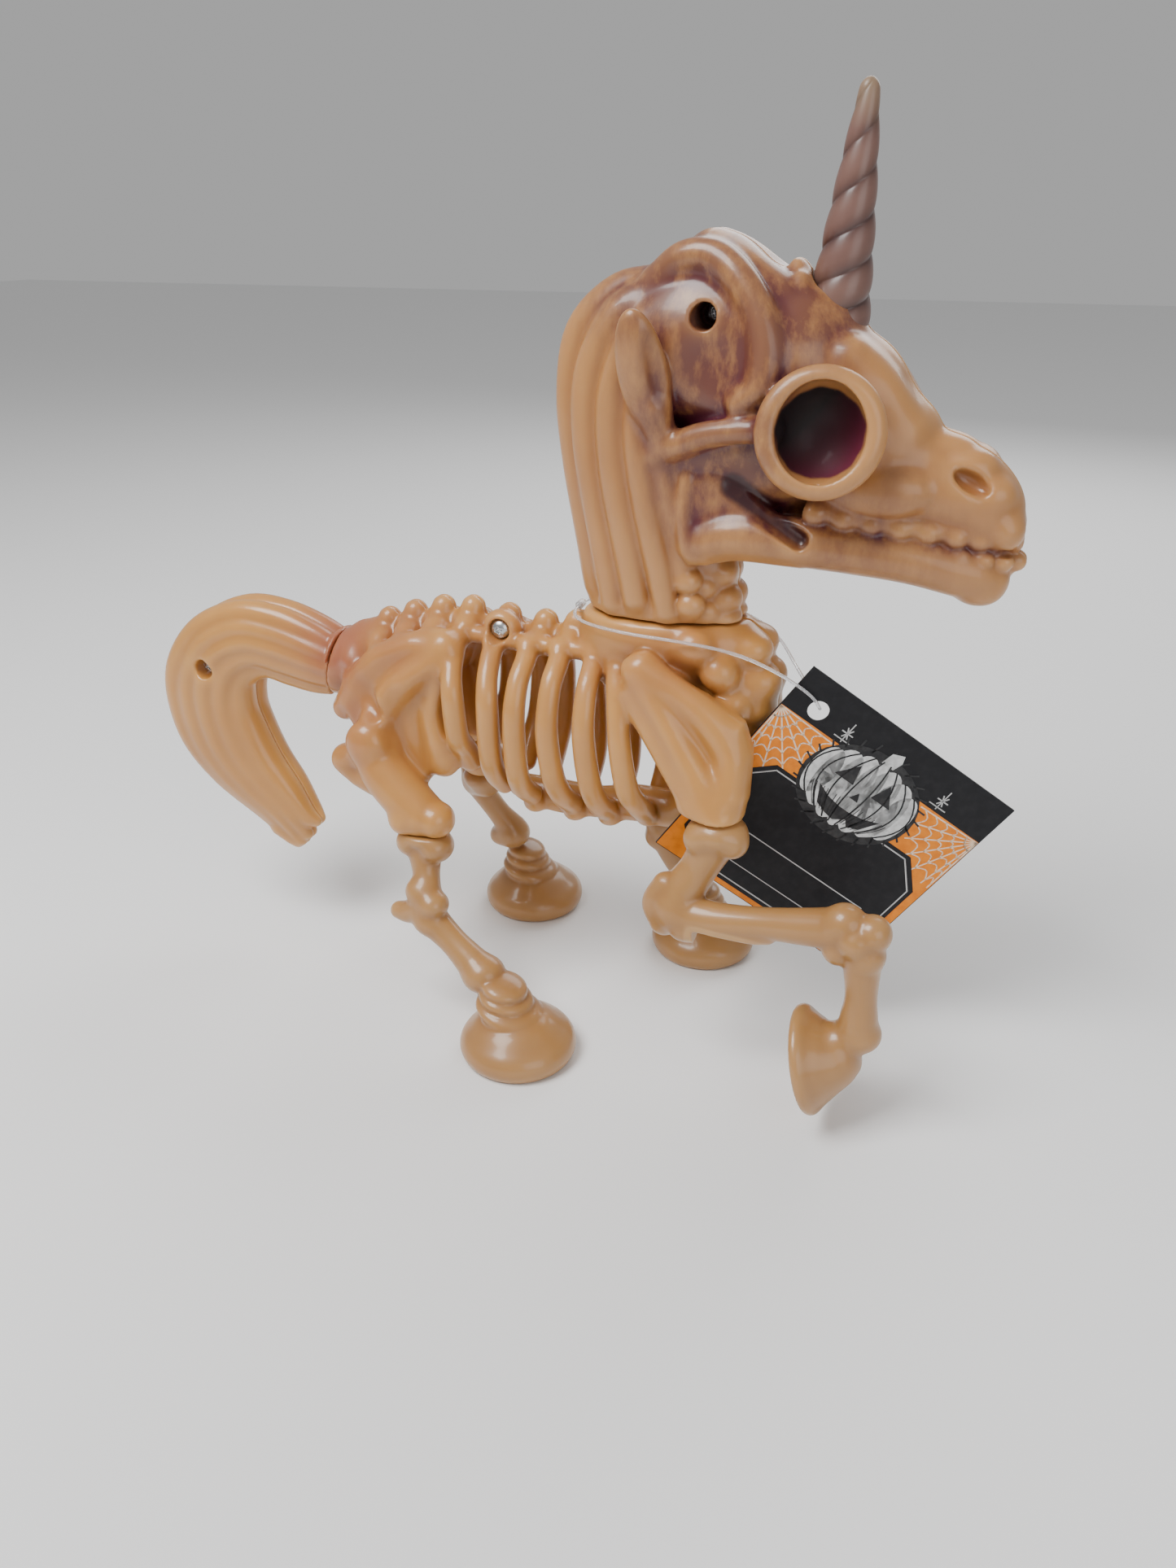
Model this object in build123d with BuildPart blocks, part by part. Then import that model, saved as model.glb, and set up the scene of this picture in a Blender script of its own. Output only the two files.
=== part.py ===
"""Standing skeleton unicorn, a seasonal table decoration of moulded plastic.

Frame: +X towards the head, -Y is the figure's right side, +Z up. The origin is on the
standing surface, under the middle of the figure's length. Millimetres.

The trunk, the head and the tail are each two mouldings that meet on the mid-plane. The
lower legs and the horn are plugged in, and the head and the tail turn on flanged pegs.
"""
from build123d import *
import os
from math import cos, pi, radians, sin

os.makedirs("parts", exist_ok=True)

# ---- driving dimensions ---------------------------------------------------------------
back_height = 106.0        # centre of the saddle's spine above the standing surface
trunk_length = 88.0        # hip station to shoulder station
shoulder_x = 50.5          # shoulder station, ahead of the middle of the figure
rib_reach = 18.5           # widest point of a rib's centreline from the mid-plane
rib_radius = 2.5
chest_depth = 46.0         # spine centre down to the sternum's centre
vertebra_count = 9
rib_count = 6
stifle_drop = 53.0         # saddle's spine down to the hind legs' seats
shoulder_drop = 34.0       # the same for the forelegs
hind_stance = 36.5         # hoof centres from the mid-plane
fore_stance = 30.0
hoof_radius = 15.5
hoof_height = 14.0
horn_length = 42.0
horn_radius = 6.9
horn_tip_radius = 1.8
wall = 2.2                 # skull, mane and tail shells

# ---- joints and fasteners -------------------------------------------------------------
neck_joint_rise = 9.5      # turning face of the neck above the spine's centre
neck_half_length = 20.0
neck_half_width = 12.5
neck_peg_radius = 4.0
neck_flange_radius = neck_peg_radius + 2.5
tail_peg_radius = 3.0
tail_flange_radius = tail_peg_radius + 2.0
tail_root_radius = 9.5
tail_tilt = 12.0           # the tail's turning axis points this far above the horizontal
flange_thickness = 2.5
peg_floor = 3.5            # wall that a flange turns against
peg_bury = 9.0             # fixed end of a peg, inside the trunk
turning_gap = 0.3          # between the two faces of a turning joint
running_clearance = 0.08   # radial, a peg in its bore
seat_clearance = 0.05      # radial, a plug or peg pressed into its socket
screw_head_radius = 2.65
screw_head_height = 1.9
screw_shank_radius = 1.3
screw_length = 9.0         # under the head
screw_bore_radius = screw_shank_radius + 0.2
pilot_radius = screw_shank_radius + 0.05
screw_grip = 4.0           # from the mid-plane to the head's seat
access_radius = screw_head_radius + 0.15   # deep hole that a screwdriver reaches through
boss_radius = access_radius + 1.4
plug_radius = 2.6          # leg plugs
plug_length = 5.0
spigot_radius = 3.6        # the horn's spigot
spigot_length = 5.0

# ---- hang tag -------------------------------------------------------------------------
tag_side = 62.5
tag_thickness = 0.5
tag_hole_radius = 2.6
tag_hole_inset = 8.2       # hole centre from both edges of its corner
loop_diameter = 0.8
lock_length = 3.4
lock_radius = 1.1

hip_x = shoulder_x - trunk_length
stifle_height = back_height - stifle_drop
shoulder_height = back_height - shoulder_drop
neck_z = back_height + neck_joint_rise
up = Vector(0, 0, 1)


def hind(x, y, z):
    """Point counted from the hip station and the spine's height."""
    return Vector(hip_x + x, y, back_height + z)


def fore(x, y, z):
    """Point counted from the shoulder station and the spine's height."""
    return Vector(shoulder_x + x, y, back_height + z)


def hind_leg(x, y, share):
    """Point of a hind leg, at a share of the stifle's height above the floor."""
    return Vector(hip_x + x, y, stifle_height * share)


def fore_leg(x, y, share):
    """Point of a foreleg, at a share of the shoulder's height above the floor."""
    return Vector(shoulder_x + x, y, shoulder_height * share)


# ---- bone shapes, added to the part being built ---------------------------------------
def knob(point, radius, mode=Mode.ADD):
    """Ball, its poles and seam turned away from the mid-plane and from the shafts' ends."""
    with Locations(Location(point, (50, 10, 0))):
        Sphere(radius, mode=mode)


def shaft(start, end, start_radius, end_radius, mode=Mode.ADD):
    """Round bar or taper between two points."""
    run = end - start
    foot = (Align.CENTER, Align.CENTER, Align.MIN)
    plain = Plane(origin=start, z_dir=run)
    seam = 0.966 * plain.x_dir + 0.259 * plain.y_dir
    with Locations(Plane(origin=start, x_dir=seam, z_dir=run)):
        if abs(start_radius - end_radius) < 0.01:
            Cylinder(start_radius, run.length, align=foot, mode=mode)
        else:
            Cone(start_radius, end_radius, run.length, align=foot, mode=mode)


def bone(knobs, waist=0.88):
    """Chain of (point, radius) knobs joined by shafts a little slimmer than they are."""
    for (start, start_radius), (end, end_radius) in zip(knobs, knobs[1:]):
        shaft(start, end, waist * start_radius, waist * end_radius)
    for point, radius in knobs:
        knob(point, radius)


def slimmer(knobs, by):
    """The same chain with a wall taken off each radius, for the hollow inside it."""
    return [(point, radius - by) for point, radius in knobs]


def plate(outline, y_inner, y_outer):
    """Flat bone on the right side, between two distances from the mid-plane."""
    with BuildSketch(Plane.XZ.offset(y_inner)) as blade:
        with BuildLine():
            Polyline(*[(p.X, p.Z) for p in outline], close=True)
        make_face()
    extrude(blade.sketch, amount=y_outer - y_inner)


def hoof(sole, axis):
    """Domed hoof on its sole's centre, turned about the axis that leaves the sole."""
    side = Vector(0, 1, 0).cross(axis).normalized()
    with BuildSketch(Plane(origin=sole, x_dir=side, z_dir=side.cross(axis))) as profile:
        with BuildLine():
            flat = Line((0, 0), (hoof_radius - 1.2, 0))
            brim = ThreePointArc(flat @ 1, (hoof_radius, 1.8), (hoof_radius - 0.7, 4.0))
            dome = ThreePointArc(brim @ 1, (0.72 * hoof_radius, 0.7 * hoof_height),
                                 (0.36 * hoof_radius, hoof_height))
            Polyline(dome @ 1, (0, hoof_height), (0, 0))
        make_face()
    revolve(profile.sketch, axis=Axis(sole, axis))


def plug_hole(point):
    """Upright socket for a leg's plug, drilled up from its mouth."""
    depth = plug_length + 0.5
    shaft(point, point + depth * up, plug_radius + seat_clearance,
          plug_radius + seat_clearance, Mode.SUBTRACT)


# ---- the peg that a turning joint runs on ---------------------------------------------
def peg_seat(face, radius, flange_radius):
    """Bore and flange pocket for a peg's fixed end, cut behind a joint's face."""
    inner = face.origin - peg_bury * face.z_dir
    pocket_top = inner + (flange_thickness + seat_clearance) * face.z_dir
    shaft(inner - seat_clearance * face.z_dir, pocket_top, flange_radius + seat_clearance,
          flange_radius + seat_clearance, Mode.SUBTRACT)
    shaft(inner, face.origin + face.z_dir, radius + seat_clearance,
          radius + seat_clearance, Mode.SUBTRACT)


def swivel_peg(face, radius, flange_radius):
    """Peg with a flange at each end: one held in the trunk, one turning in the shell."""
    start = face.origin - peg_bury * face.z_dir
    under_cap = face.origin + (turning_gap + peg_floor + 0.15) * face.z_dir
    top = under_cap + flange_thickness * face.z_dir
    shaft(start, top, radius, radius)
    shaft(start, start + flange_thickness * face.z_dir, flange_radius, flange_radius)
    shaft(under_cap, top, flange_radius, flange_radius)


def peg_chamber(face, radius, flange_radius):
    """Room for a peg's turning flange and the bore through the floor below it."""
    floor_top = face.origin + (turning_gap + peg_floor) * face.z_dir
    shaft(floor_top, floor_top + (flange_thickness + 1.5) * face.z_dir,
          flange_radius + 0.4, flange_radius + 0.4, Mode.SUBTRACT)
    shaft(face.origin, floor_top + face.z_dir, radius + running_clearance,
          radius + running_clearance, Mode.SUBTRACT)


# ---- the screw that holds two halves together -----------------------------------------
def screw_way(x, z, outside):
    """Right half: driver's hole down to the head's seat, then the shank's bore."""
    seat = Vector(x, -screw_grip, z)
    shaft(seat, Vector(x, -outside, z), access_radius, access_radius, Mode.SUBTRACT)
    shaft(seat, Vector(x, 1, z), screw_bore_radius, screw_bore_radius, Mode.SUBTRACT)


def screw_pilot(x, z):
    """Left half: blind hole that the screw's thread bites into."""
    shaft(Vector(x, -1, z), Vector(x, screw_length - screw_grip + 1.0, z),
          pilot_radius, pilot_radius, Mode.SUBTRACT)


def screw(x, z):
    """Domed cross-head screw lying along Y, its head on the right side's seat."""
    seat = Vector(x, -screw_grip, z)
    with BuildSketch(Plane(origin=seat, x_dir=(1, 0, 0), z_dir=(0, 0, 1))) as profile:
        with BuildLine():
            Line((0, 0), (screw_head_radius, 0))
            rim = Line((screw_head_radius, 0), (screw_head_radius, -0.5))
            ThreePointArc(rim @ 1, (0.62 * screw_head_radius, -0.82 * screw_head_height),
                          (0, -screw_head_height))
            Line((0, -screw_head_height), (0, 0))
        make_face()
    revolve(profile.sketch, axis=Axis(seat, (0, 1, 0)))
    shaft(seat, seat + Vector(0, screw_length, 0), screw_shank_radius, screw_shank_radius)
    with Locations(Plane(origin=seat - Vector(0, screw_head_height, 0), z_dir=(0, 1, 0))):
        Box(2.6, 0.6, 2.2, mode=Mode.SUBTRACT)
        Box(0.6, 2.6, 2.2, mode=Mode.SUBTRACT)


# ---- trunk: spine, ribs, breastbone, pelvis and shoulder blade, one side ---------------
spine_start = hip_x - 11
spine_end = shoulder_x - 30
neck_face = Plane(origin=(shoulder_x - 13.5, 0, neck_z - turning_gap / 2), z_dir=up)
tail_axis = Vector(-cos(radians(tail_tilt)), 0, sin(radians(tail_tilt)))
tail_face = Plane(origin=hind(-18, 0, -15.5), z_dir=tail_axis)
trunk_screw_at = (hip_x + 33, back_height + 1.5)
head_screw_at = (shoulder_x - 2.5, back_height + 78)
tail_screw_at = (hip_x - 59.5, back_height - 20.5)
stifle_mouth = Vector(hip_x + 15, -20, stifle_height)
shoulder_mouth = Vector(shoulder_x + 8, -21, shoulder_height)


def spine_z(x):
    """The spine's centre: level over the saddle, falling away over the rump."""
    over_rump = max(0.0, hip_x + 21 - x)
    return back_height + 0.5 - 13 * (over_rump / 32) ** 2


vertebrae = [Vector(x, 0, spine_z(x))
             for x in [spine_start + i * (spine_end - spine_start) / (vertebra_count - 1)
                       for i in range(vertebra_count)]]

with BuildPart() as trunk_side:
    for centre in vertebrae:
        knob(centre, 4.8)
        shaft(centre, centre + 4.5 * up, 3.6, 2.8)
        knob(centre + 4.5 * up, 3.4)
    for centre, ahead in zip(vertebrae, vertebrae[1:]):
        shaft(centre, ahead, 4.3, 4.3)
    for centre in vertebrae[:4]:
        knob(centre + Vector(0, -5.5, -4.5), 4.2)
    shaft(vertebrae[-1], fore(-8, 0, -1), 4.5, 7)

    # ribs, each one bent bar from the spine round to the breastbone
    for i in range(rib_count):
        along = i / (rib_count - 1)
        top_x = hip_x + 21.7 + along * (spine_end + 8.2 - hip_x - 21.7)
        low_x = hip_x + 24.7 + along * (spine_end + 14.9 - hip_x - 24.7)
        low_y, low_z = (4.5, chest_depth - 2) if i else (9.5, chest_depth - 11)
        with BuildLine() as rib:
            ThreePointArc((top_x, -3, back_height - 1),
                          (top_x + 0.35 * (low_x - top_x), -rib_reach, back_height - 20),
                          (low_x, -low_y, back_height - low_z))
        with BuildSketch(Plane(origin=rib.line @ 0, z_dir=rib.line % 0)):
            Circle(rib_radius)
        sweep()
    bone([(Vector(hip_x + 33 + i * (shoulder_x - 41 - hip_x) / 4, 0, back_height - chest_depth), 4.5)
          for i in range(5)])

    # chest, from the breastbone up to the root of the neck
    bone([(fore(-8, 0, -chest_depth + 1), 5.5), (fore(-2, 0, -32), 7), (fore(6, 0, -18), 8.5),
          (fore(7, 0, -6), 9.5)])
    knob(fore(10, 0, -5), 6.5)
    knob(fore(9, 0, 3), 5)
    with BuildSketch(neck_face) as neck_top:
        Ellipse(neck_half_length, neck_half_width)
    with BuildSketch(neck_face.offset(-15)):
        with Locations((3, 0)):
            Ellipse(neck_half_length + 2, neck_half_width + 1.5)
    loft()

    # pelvis and thigh
    plate([hind(21, 0, -3), hind(-7, 0, -10), hind(-14, 0, -25), hind(-10, 0, -33),
           hind(-14, 0, -42), hind(-1, 0, -46), hind(11, 0, -40), hind(21, 0, -36),
           hind(20, 0, -20)], 7, 15)
    bone([(hind(17, -13, -6), 3.8), (hind(3, -15, -18), 4.2), (hind(1, -16, -35), 7),
          (hind(15.5, -20, -stifle_drop + 5.5), 7.5)])
    knob(hind(-12, -11.5, -26), 4.8)
    knob(hind(-12, -12, -41), 4.8)
    knob(hind(20, -12, -37), 4.4)
    shaft(hind(-7, 0, -14), tail_face.origin, 8.5, tail_root_radius)

    # shoulder blade
    plate([fore(-18, 0, -5), fore(-13, 0, 1), fore(1, 0, -5), fore(13.5, 0, -13),
           fore(15.5, 0, -28), fore(4, 0, -31), fore(-12.5, 0, -14)], 14, 19.5)
    bone([(fore(-13.5, -16, -4), 4.4), (fore(8, -21, -shoulder_drop + 3.5), 7.3)], waist=0.7)
    shaft(fore(-7, 0, -8), fore(-7, -15, -8), 8, 8)

    # flat seats under the stifle and the shoulder, for the lower legs
    with BuildSketch(Plane.XY.offset(stifle_height)):
        with Locations((stifle_mouth.X, stifle_mouth.Y)):
            Circle(12)
    extrude(amount=-12, mode=Mode.SUBTRACT)
    with BuildSketch(Plane.XY.offset(shoulder_height)):
        with Locations((shoulder_mouth.X, shoulder_mouth.Y - 2)):
            Rectangle(32, 20)
    extrude(amount=-12, mode=Mode.SUBTRACT)
    plug_hole(stifle_mouth)
    plug_hole(shoulder_mouth)
    with Locations(Plane(origin=tail_face.origin, z_dir=tail_axis)):
        Cylinder(14, 12, align=(Align.CENTER, Align.CENTER, Align.MIN), mode=Mode.SUBTRACT)
    with Locations(neck_face):
        Cylinder(30, 12, align=(Align.CENTER, Align.CENTER, Align.MIN), mode=Mode.SUBTRACT)
    peg_seat(neck_face, neck_peg_radius, neck_flange_radius)
    peg_seat(tail_face, tail_peg_radius, tail_flange_radius)
    shaft(Vector(trunk_screw_at[0], 0, trunk_screw_at[1]),
          Vector(trunk_screw_at[0], -screw_grip - 2.0, trunk_screw_at[1]), boss_radius, boss_radius)
    split(bisect_by=Plane.XZ, keep=Keep.TOP)

with BuildPart() as trunk_right_half:
    add(trunk_side.part)
    screw_way(*trunk_screw_at, 12)

with BuildPart() as trunk_left_half:
    add(mirror(trunk_side.part, about=Plane.XZ, mode=Mode.PRIVATE))
    screw_pilot(*trunk_screw_at)

with BuildPart() as trunk_screw:
    screw(*trunk_screw_at)

# ---- lower legs -----------------------------------------------------------------------
with BuildPart() as hind_leg_right:
    bone([(hind_leg(15, -20.5, 0.92), 6.2), (hind_leg(17, -24, 0.78), 4.8),
          (hind_leg(18, -28, 0.65), 5.8), (hind_leg(36, -32.5, 0.38), 5.8),
          (hind_leg(44, -hind_stance + 1, 0.33), 5.6)])
    knob(hind_leg(11.5, -28, 0.58), 3.9)
    hoof(hind_leg(48, -hind_stance, 0), up)
    split(bisect_by=Plane.XY.offset(stifle_height), keep=Keep.BOTTOM)
    shaft(stifle_mouth - 2 * up, stifle_mouth + plug_length * up, plug_radius, plug_radius)

with BuildPart() as hind_leg_left:
    bone([(hind_leg(14, 21, 0.92), 6.2), (hind_leg(8, 27, 0.9), 5.2),
          (hind_leg(17, 33, 0.5), 5.6), (hind_leg(20.5, hind_stance - 1, 0.33), 5.2)])
    hoof(hind_leg(22.8, hind_stance, 0), up)
    split(bisect_by=Plane.XY.offset(stifle_height), keep=Keep.BOTTOM)
    mouth = Vector(stifle_mouth.X, -stifle_mouth.Y, stifle_mouth.Z)
    shaft(mouth - 2 * up, mouth + plug_length * up, plug_radius, plug_radius)

with BuildPart() as foreleg_right:
    bone([(fore_leg(8, -21, 0.92), 7.8), (fore_leg(-1, -25, 0.66), 6.8),
          (fore_leg(20, -29, 0.71), 4.8), (fore_leg(42, -33, 0.757), 6.4),
          (fore_leg(47, -34.5, 0.39), 5.2), (fore_leg(43, -35.5, 0.31), 5.2)])
    knob(fore_leg(47.5, -34, 0.72), 4.8)
    hoof(fore_leg(35.4, -36, 0.243), Vector(0.96, 0, 0.28))
    split(bisect_by=Plane.XY.offset(shoulder_height), keep=Keep.BOTTOM)
    shaft(shoulder_mouth - 2 * up, shoulder_mouth + plug_length * up, plug_radius, plug_radius)

with BuildPart() as foreleg_left:
    bone([(fore_leg(8, 21, 0.92), 7.6), (fore_leg(-5, 23, 0.76), 6.2),
          (fore_leg(-18, 24, 0.58), 5.6), (fore_leg(-10, 28, 0.32), 5.5),
          (fore_leg(-7.5, fore_stance - 0.5, 0.24), 5.2)])
    hoof(fore_leg(-6.6, fore_stance, 0), up)
    split(bisect_by=Plane.XY.offset(shoulder_height), keep=Keep.BOTTOM)
    mouth = Vector(shoulder_mouth.X, -shoulder_mouth.Y, shoulder_mouth.Z)
    shaft(mouth - 2 * up, mouth + plug_length * up, plug_radius, plug_radius)

# ---- head, mane and neck: two hollow halves -------------------------------------------
def oval_loft(sections, by=0.0):
    """Skin through upright or level ovals, each (plane, half across, half along), with a
    wall taken off both halves."""
    ovals = []
    for plane, across, along in sections:
        with BuildSketch(plane) as oval:
            Ellipse(across - by, along - by)
        ovals.append(oval.sketch)
    loft(ovals)


def across_head(x, z, half_width, half_height):
    """Section of the head at a distance ahead of the shoulder station."""
    return Plane(origin=fore(x, 0, z), x_dir=(0, 1, 0), z_dir=(1, 0, 0)), half_width, half_height


def across_neck(x, z, half_length, half_width):
    """Level section of the neck and mane at a height above the spine."""
    return Plane(origin=fore(x, 0, z)), half_length, half_width


head_face = neck_face.offset(turning_gap)
mane_sections = [(head_face, neck_half_length, neck_half_width),
                 across_neck(-17.5, 24, 18.5, 12), across_neck(-19.5, 42, 18.5, 13),
                 across_neck(-20, 60, 20, 15), across_neck(-20, 76, 17.5, 13),
                 across_neck(-19, 86, 8, 6)]
skull_sections = [across_head(-21, 70, 7, 8), across_head(-13, 71, 16, 17),
                  across_head(-2, 71, 20, 21), across_head(11, 66, 19, 24),
                  across_head(23, 60, 18, 26), across_head(33, 51, 16.5, 22),
                  across_head(42, 42, 13.5, 17), across_head(53, 36.5, 11.5, 16),
                  across_head(61, 32.5, 10, 13), across_head(66.5, 31, 6.5, 8)]
jaw_sections = [across_head(-6, 32, 12, 8.5), across_head(15, 31, 13.5, 8.5),
                across_head(35, 30, 12.5, 8.5), across_head(53, 29, 9, 8)]
brain_sections = [across_head(-14, 71, 11, 12), across_head(-2, 71, 17.5, 18),
                  across_head(9, 64, 13, 16), across_head(19, 56, 8, 12),
                  across_head(31, 48, 8.5, 13), across_head(42, 41, 9.5, 12.5),
                  across_head(53, 36.5, 8, 11.5), across_head(60, 33, 5.5, 7)]
horn_axis = Vector(0.058, 0, 1).normalized()
horn_seat = Plane(origin=fore(23, 0, 79.5), z_dir=horn_axis)
orbit = Plane(origin=fore(24.3, -17.6, 56.6), z_dir=Vector(0.16, -0.97, 0.17))

with BuildPart() as neck_hollow:
    chamber_floor = neck_face.offset(turning_gap + peg_floor)
    oval_loft([(chamber_floor, neck_half_length, neck_half_width), *mane_sections[1:5]], wall)

with BuildPart() as skull_hollow:
    oval_loft(brain_sections)

with BuildPart() as head_side:
    oval_loft(skull_sections)
    oval_loft(mane_sections)
    oval_loft(jaw_sections)
    shaft(fore(3, -13.5, 49), fore(14, -16, 45), 3.6, 3.2)
    bone([(fore(-7, -15, 56), 5.5), (fore(-13, -20, 70), 4.2), (fore(-16.5, -23, 77), 2.4)])
    shaft(orbit.origin - 7 * orbit.z_dir, orbit.origin + 1.8 * orbit.z_dir, 13.4, 12.2)
    knob(orbit.origin + 3.6 * orbit.z_dir, 9.8, Mode.SUBTRACT)
    add(neck_hollow.part, mode=Mode.SUBTRACT)
    add(skull_hollow.part, mode=Mode.SUBTRACT)
    shaft(head_face.origin - up, head_face.origin + (peg_floor + 1) * up,
          neck_peg_radius + running_clearance, neck_peg_radius + running_clearance,
          Mode.SUBTRACT)
    shaft(Vector(head_screw_at[0], 0.5, head_screw_at[1]),
          Vector(head_screw_at[0], -16.5, head_screw_at[1]), boss_radius, boss_radius)
    shaft(horn_seat.origin, horn_seat.origin + 20 * horn_axis, horn_radius + seat_clearance,
          horn_radius + seat_clearance, Mode.SUBTRACT)
    shaft(horn_seat.origin - (spigot_length + 0.4) * horn_axis, horn_seat.origin + horn_axis,
          spigot_radius + seat_clearance, spigot_radius + seat_clearance, Mode.SUBTRACT)
    split(bisect_by=Plane.XZ, keep=Keep.TOP)

with BuildPart() as head_right_half:
    add(head_side.part)
    screw_way(*head_screw_at, 30)

with BuildPart() as head_left_half:
    add(mirror(head_side.part, about=Plane.XZ, mode=Mode.PRIVATE))
    screw_pilot(*head_screw_at)

with BuildPart() as head_screw:
    screw(*head_screw_at)

with BuildPart() as neck_peg:
    swivel_peg(neck_face, neck_peg_radius, neck_flange_radius)

with BuildPart() as horn:
    tip = horn_seat.origin + (horn_length - horn_tip_radius) * horn_axis
    shaft(horn_seat.origin, tip, horn_radius, horn_tip_radius)
    knob(tip, horn_tip_radius)
    shaft(horn_seat.origin + horn_axis, horn_seat.origin - spigot_length * horn_axis,
          spigot_radius, spigot_radius)

# ---- tail: two hollow halves of two locks ---------------------------------------------
outer_lock = [(hind(-23, 0, -14), 8.8), (hind(-37, 0, -9), 9), (hind(-52, 0, -9), 9),
              (hind(-66, 0, -16), 9.5), (hind(-70.5, 0, -28), 9.5), (hind(-68, 0, -42), 9),
              (hind(-55, 0, -57), 8), (hind(-45, 0, -67), 6), (hind(-39.5, 0, -75.5), 3.2)]
inner_lock = [(hind(-23, 0, -17), 8.4), (hind(-38, 0, -16), 8), (hind(-51, 0, -20), 8.5),
              (hind(-54, 0, -32), 9), (hind(-48, 0, -44), 9), (hind(-39, 0, -56), 7.5),
              (hind(-33, 0, -63.5), 4.5)]

with BuildPart() as tail_hollow:
    bone(slimmer(outer_lock[:7], wall))
    bone(slimmer(inner_lock[:6], wall))
    split(bisect_by=tail_face.offset(turning_gap + peg_floor), keep=Keep.TOP)

with BuildPart() as tail_side:
    bone(outer_lock, waist=0.97)
    bone(inner_lock, waist=0.97)
    shaft(tail_face.origin, hind(-24, 0, -14.5), tail_root_radius, 9)
    with Locations(tail_face.offset(turning_gap)):
        Cylinder(16, 14, align=(Align.CENTER, Align.CENTER, Align.MAX), mode=Mode.SUBTRACT)
    add(tail_hollow.part, mode=Mode.SUBTRACT)
    peg_chamber(tail_face, tail_peg_radius, tail_flange_radius)
    shaft(Vector(tail_screw_at[0], 0, tail_screw_at[1]),
          Vector(tail_screw_at[0], -7.5, tail_screw_at[1]), boss_radius, boss_radius)
    split(bisect_by=Plane.XZ, keep=Keep.TOP)

with BuildPart() as tail_right_half:
    add(tail_side.part)
    screw_way(*tail_screw_at, 20)

with BuildPart() as tail_left_half:
    add(mirror(tail_side.part, about=Plane.XZ, mode=Mode.PRIVATE))
    screw_pilot(*tail_screw_at)

with BuildPart() as tail_screw:
    screw(*tail_screw_at)

with BuildPart() as tail_peg:
    swivel_peg(tail_face, tail_peg_radius, tail_flange_radius)

# ---- hang tag on its nylon loop -------------------------------------------------------
tag_plane = Plane(origin=fore(25.7, -8.3, 2.4), x_dir=(0.789, 0.222, -0.573),
                  z_dir=(0.222, -0.973, -0.07))

with BuildPart() as hang_tag:
    with BuildSketch(tag_plane):
        with Locations((tag_side / 2, -tag_side / 2)):
            Rectangle(tag_side, tag_side)
        with Locations((tag_hole_inset, -tag_hole_inset)):
            Circle(tag_hole_radius, mode=Mode.SUBTRACT)
    extrude(amount=tag_thickness / 2, both=True)

lock_centre = fore(-35.2, 0, 8.5)
with BuildPart() as loop_lock:
    shaft(lock_centre - Vector(0, lock_length / 2, 0), lock_centre + Vector(0, lock_length / 2, 0),
          lock_radius, lock_radius)

loop_route = [lock_centre - Vector(0, lock_length / 2, 0), fore(-35.2, -6.5, 8.2),
              fore(-30, -13, 8.1), fore(-18, -16.6, 7.9), fore(-4, -16.4, 7.4),
              fore(8.5, -14.2, 5.4), fore(18.5, -11.2, 0.6), fore(26.2, -9.1, -4.8),
              fore(28.2, -8.2, -8.4), fore(27.2, -5.4, -8.6), fore(24.6, -4, -5.2),
              fore(19.5, -0.5, 0.2), fore(14.5, 5.5, 4), fore(6, 12, 6.6),
              fore(-6, 15.8, 7.6), fore(-18, 16.6, 7.9), fore(-30, 13, 8.1),
              fore(-35.2, 6.5, 8.2), lock_centre + Vector(0, lock_length / 2, 0)]


def corner_radii(route, share=0.45):
    """The largest arc that each corner's two runs leave room for."""
    radii = []
    for before, corner, after in zip(route, route[1:], route[2:]):
        turn = radians((corner - before).get_angle(after - corner))
        run = min((corner - before).length, (after - corner).length)
        radii.append(share * run / (sin(turn / 2) / cos(turn / 2)))
    return radii


loop_radii = corner_radii(loop_route)
with BuildPart() as tag_loop:
    with BuildLine() as loop_line:
        FilletPolyline(*loop_route, radius=loop_radii)
    path = loop_line.wire()
    with BuildSketch(Plane(origin=path @ 0, z_dir=path % 0)):
        Circle(loop_diameter / 2)
    sweep()

pieces = {
    "trunk_right_half": trunk_right_half, "trunk_left_half": trunk_left_half,
    "trunk_screw": trunk_screw, "hind_leg_right": hind_leg_right,
    "hind_leg_left": hind_leg_left, "foreleg_right": foreleg_right,
    "foreleg_left": foreleg_left, "head_right_half": head_right_half,
    "head_left_half": head_left_half, "head_screw": head_screw, "horn": horn,
    "neck_peg": neck_peg, "tail_right_half": tail_right_half,
    "tail_left_half": tail_left_half, "tail_screw": tail_screw, "tail_peg": tail_peg,
    "hang_tag": hang_tag, "tag_loop": tag_loop, "loop_lock": loop_lock,
}
for name, piece in pieces.items():
    piece.part.label = name
    export_step(piece.part, f"parts/{name}.step")

section = pi * (loop_diameter / 2) ** 2
print(f"loop length {path.length:.1f} mm, volume {tag_loop.part.volume:.2f} mm3 against "
      f"{section * path.length:.2f}, radii " + " ".join(f"{r:.1f}" for r in loop_radii))
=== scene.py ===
# %% [markdown]
# # A skeleton unicorn, built in cells
# The object is a toy of glossy, bone-coloured moulded plastic. It stands on three hooves,
# its head and tail turn, and a card tag hangs from its neck on a nylon loop. A CAD model
# has already fixed every size and every joint. This lesson adds the sculpted look on top:
# each CAD piece is replaced by a shape in the same place that moves with the same body.

# %% Tools and the frame
import math
import bpy
import numpy as np
import openvdb as vdb
from mathutils import Matrix, Vector


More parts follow.
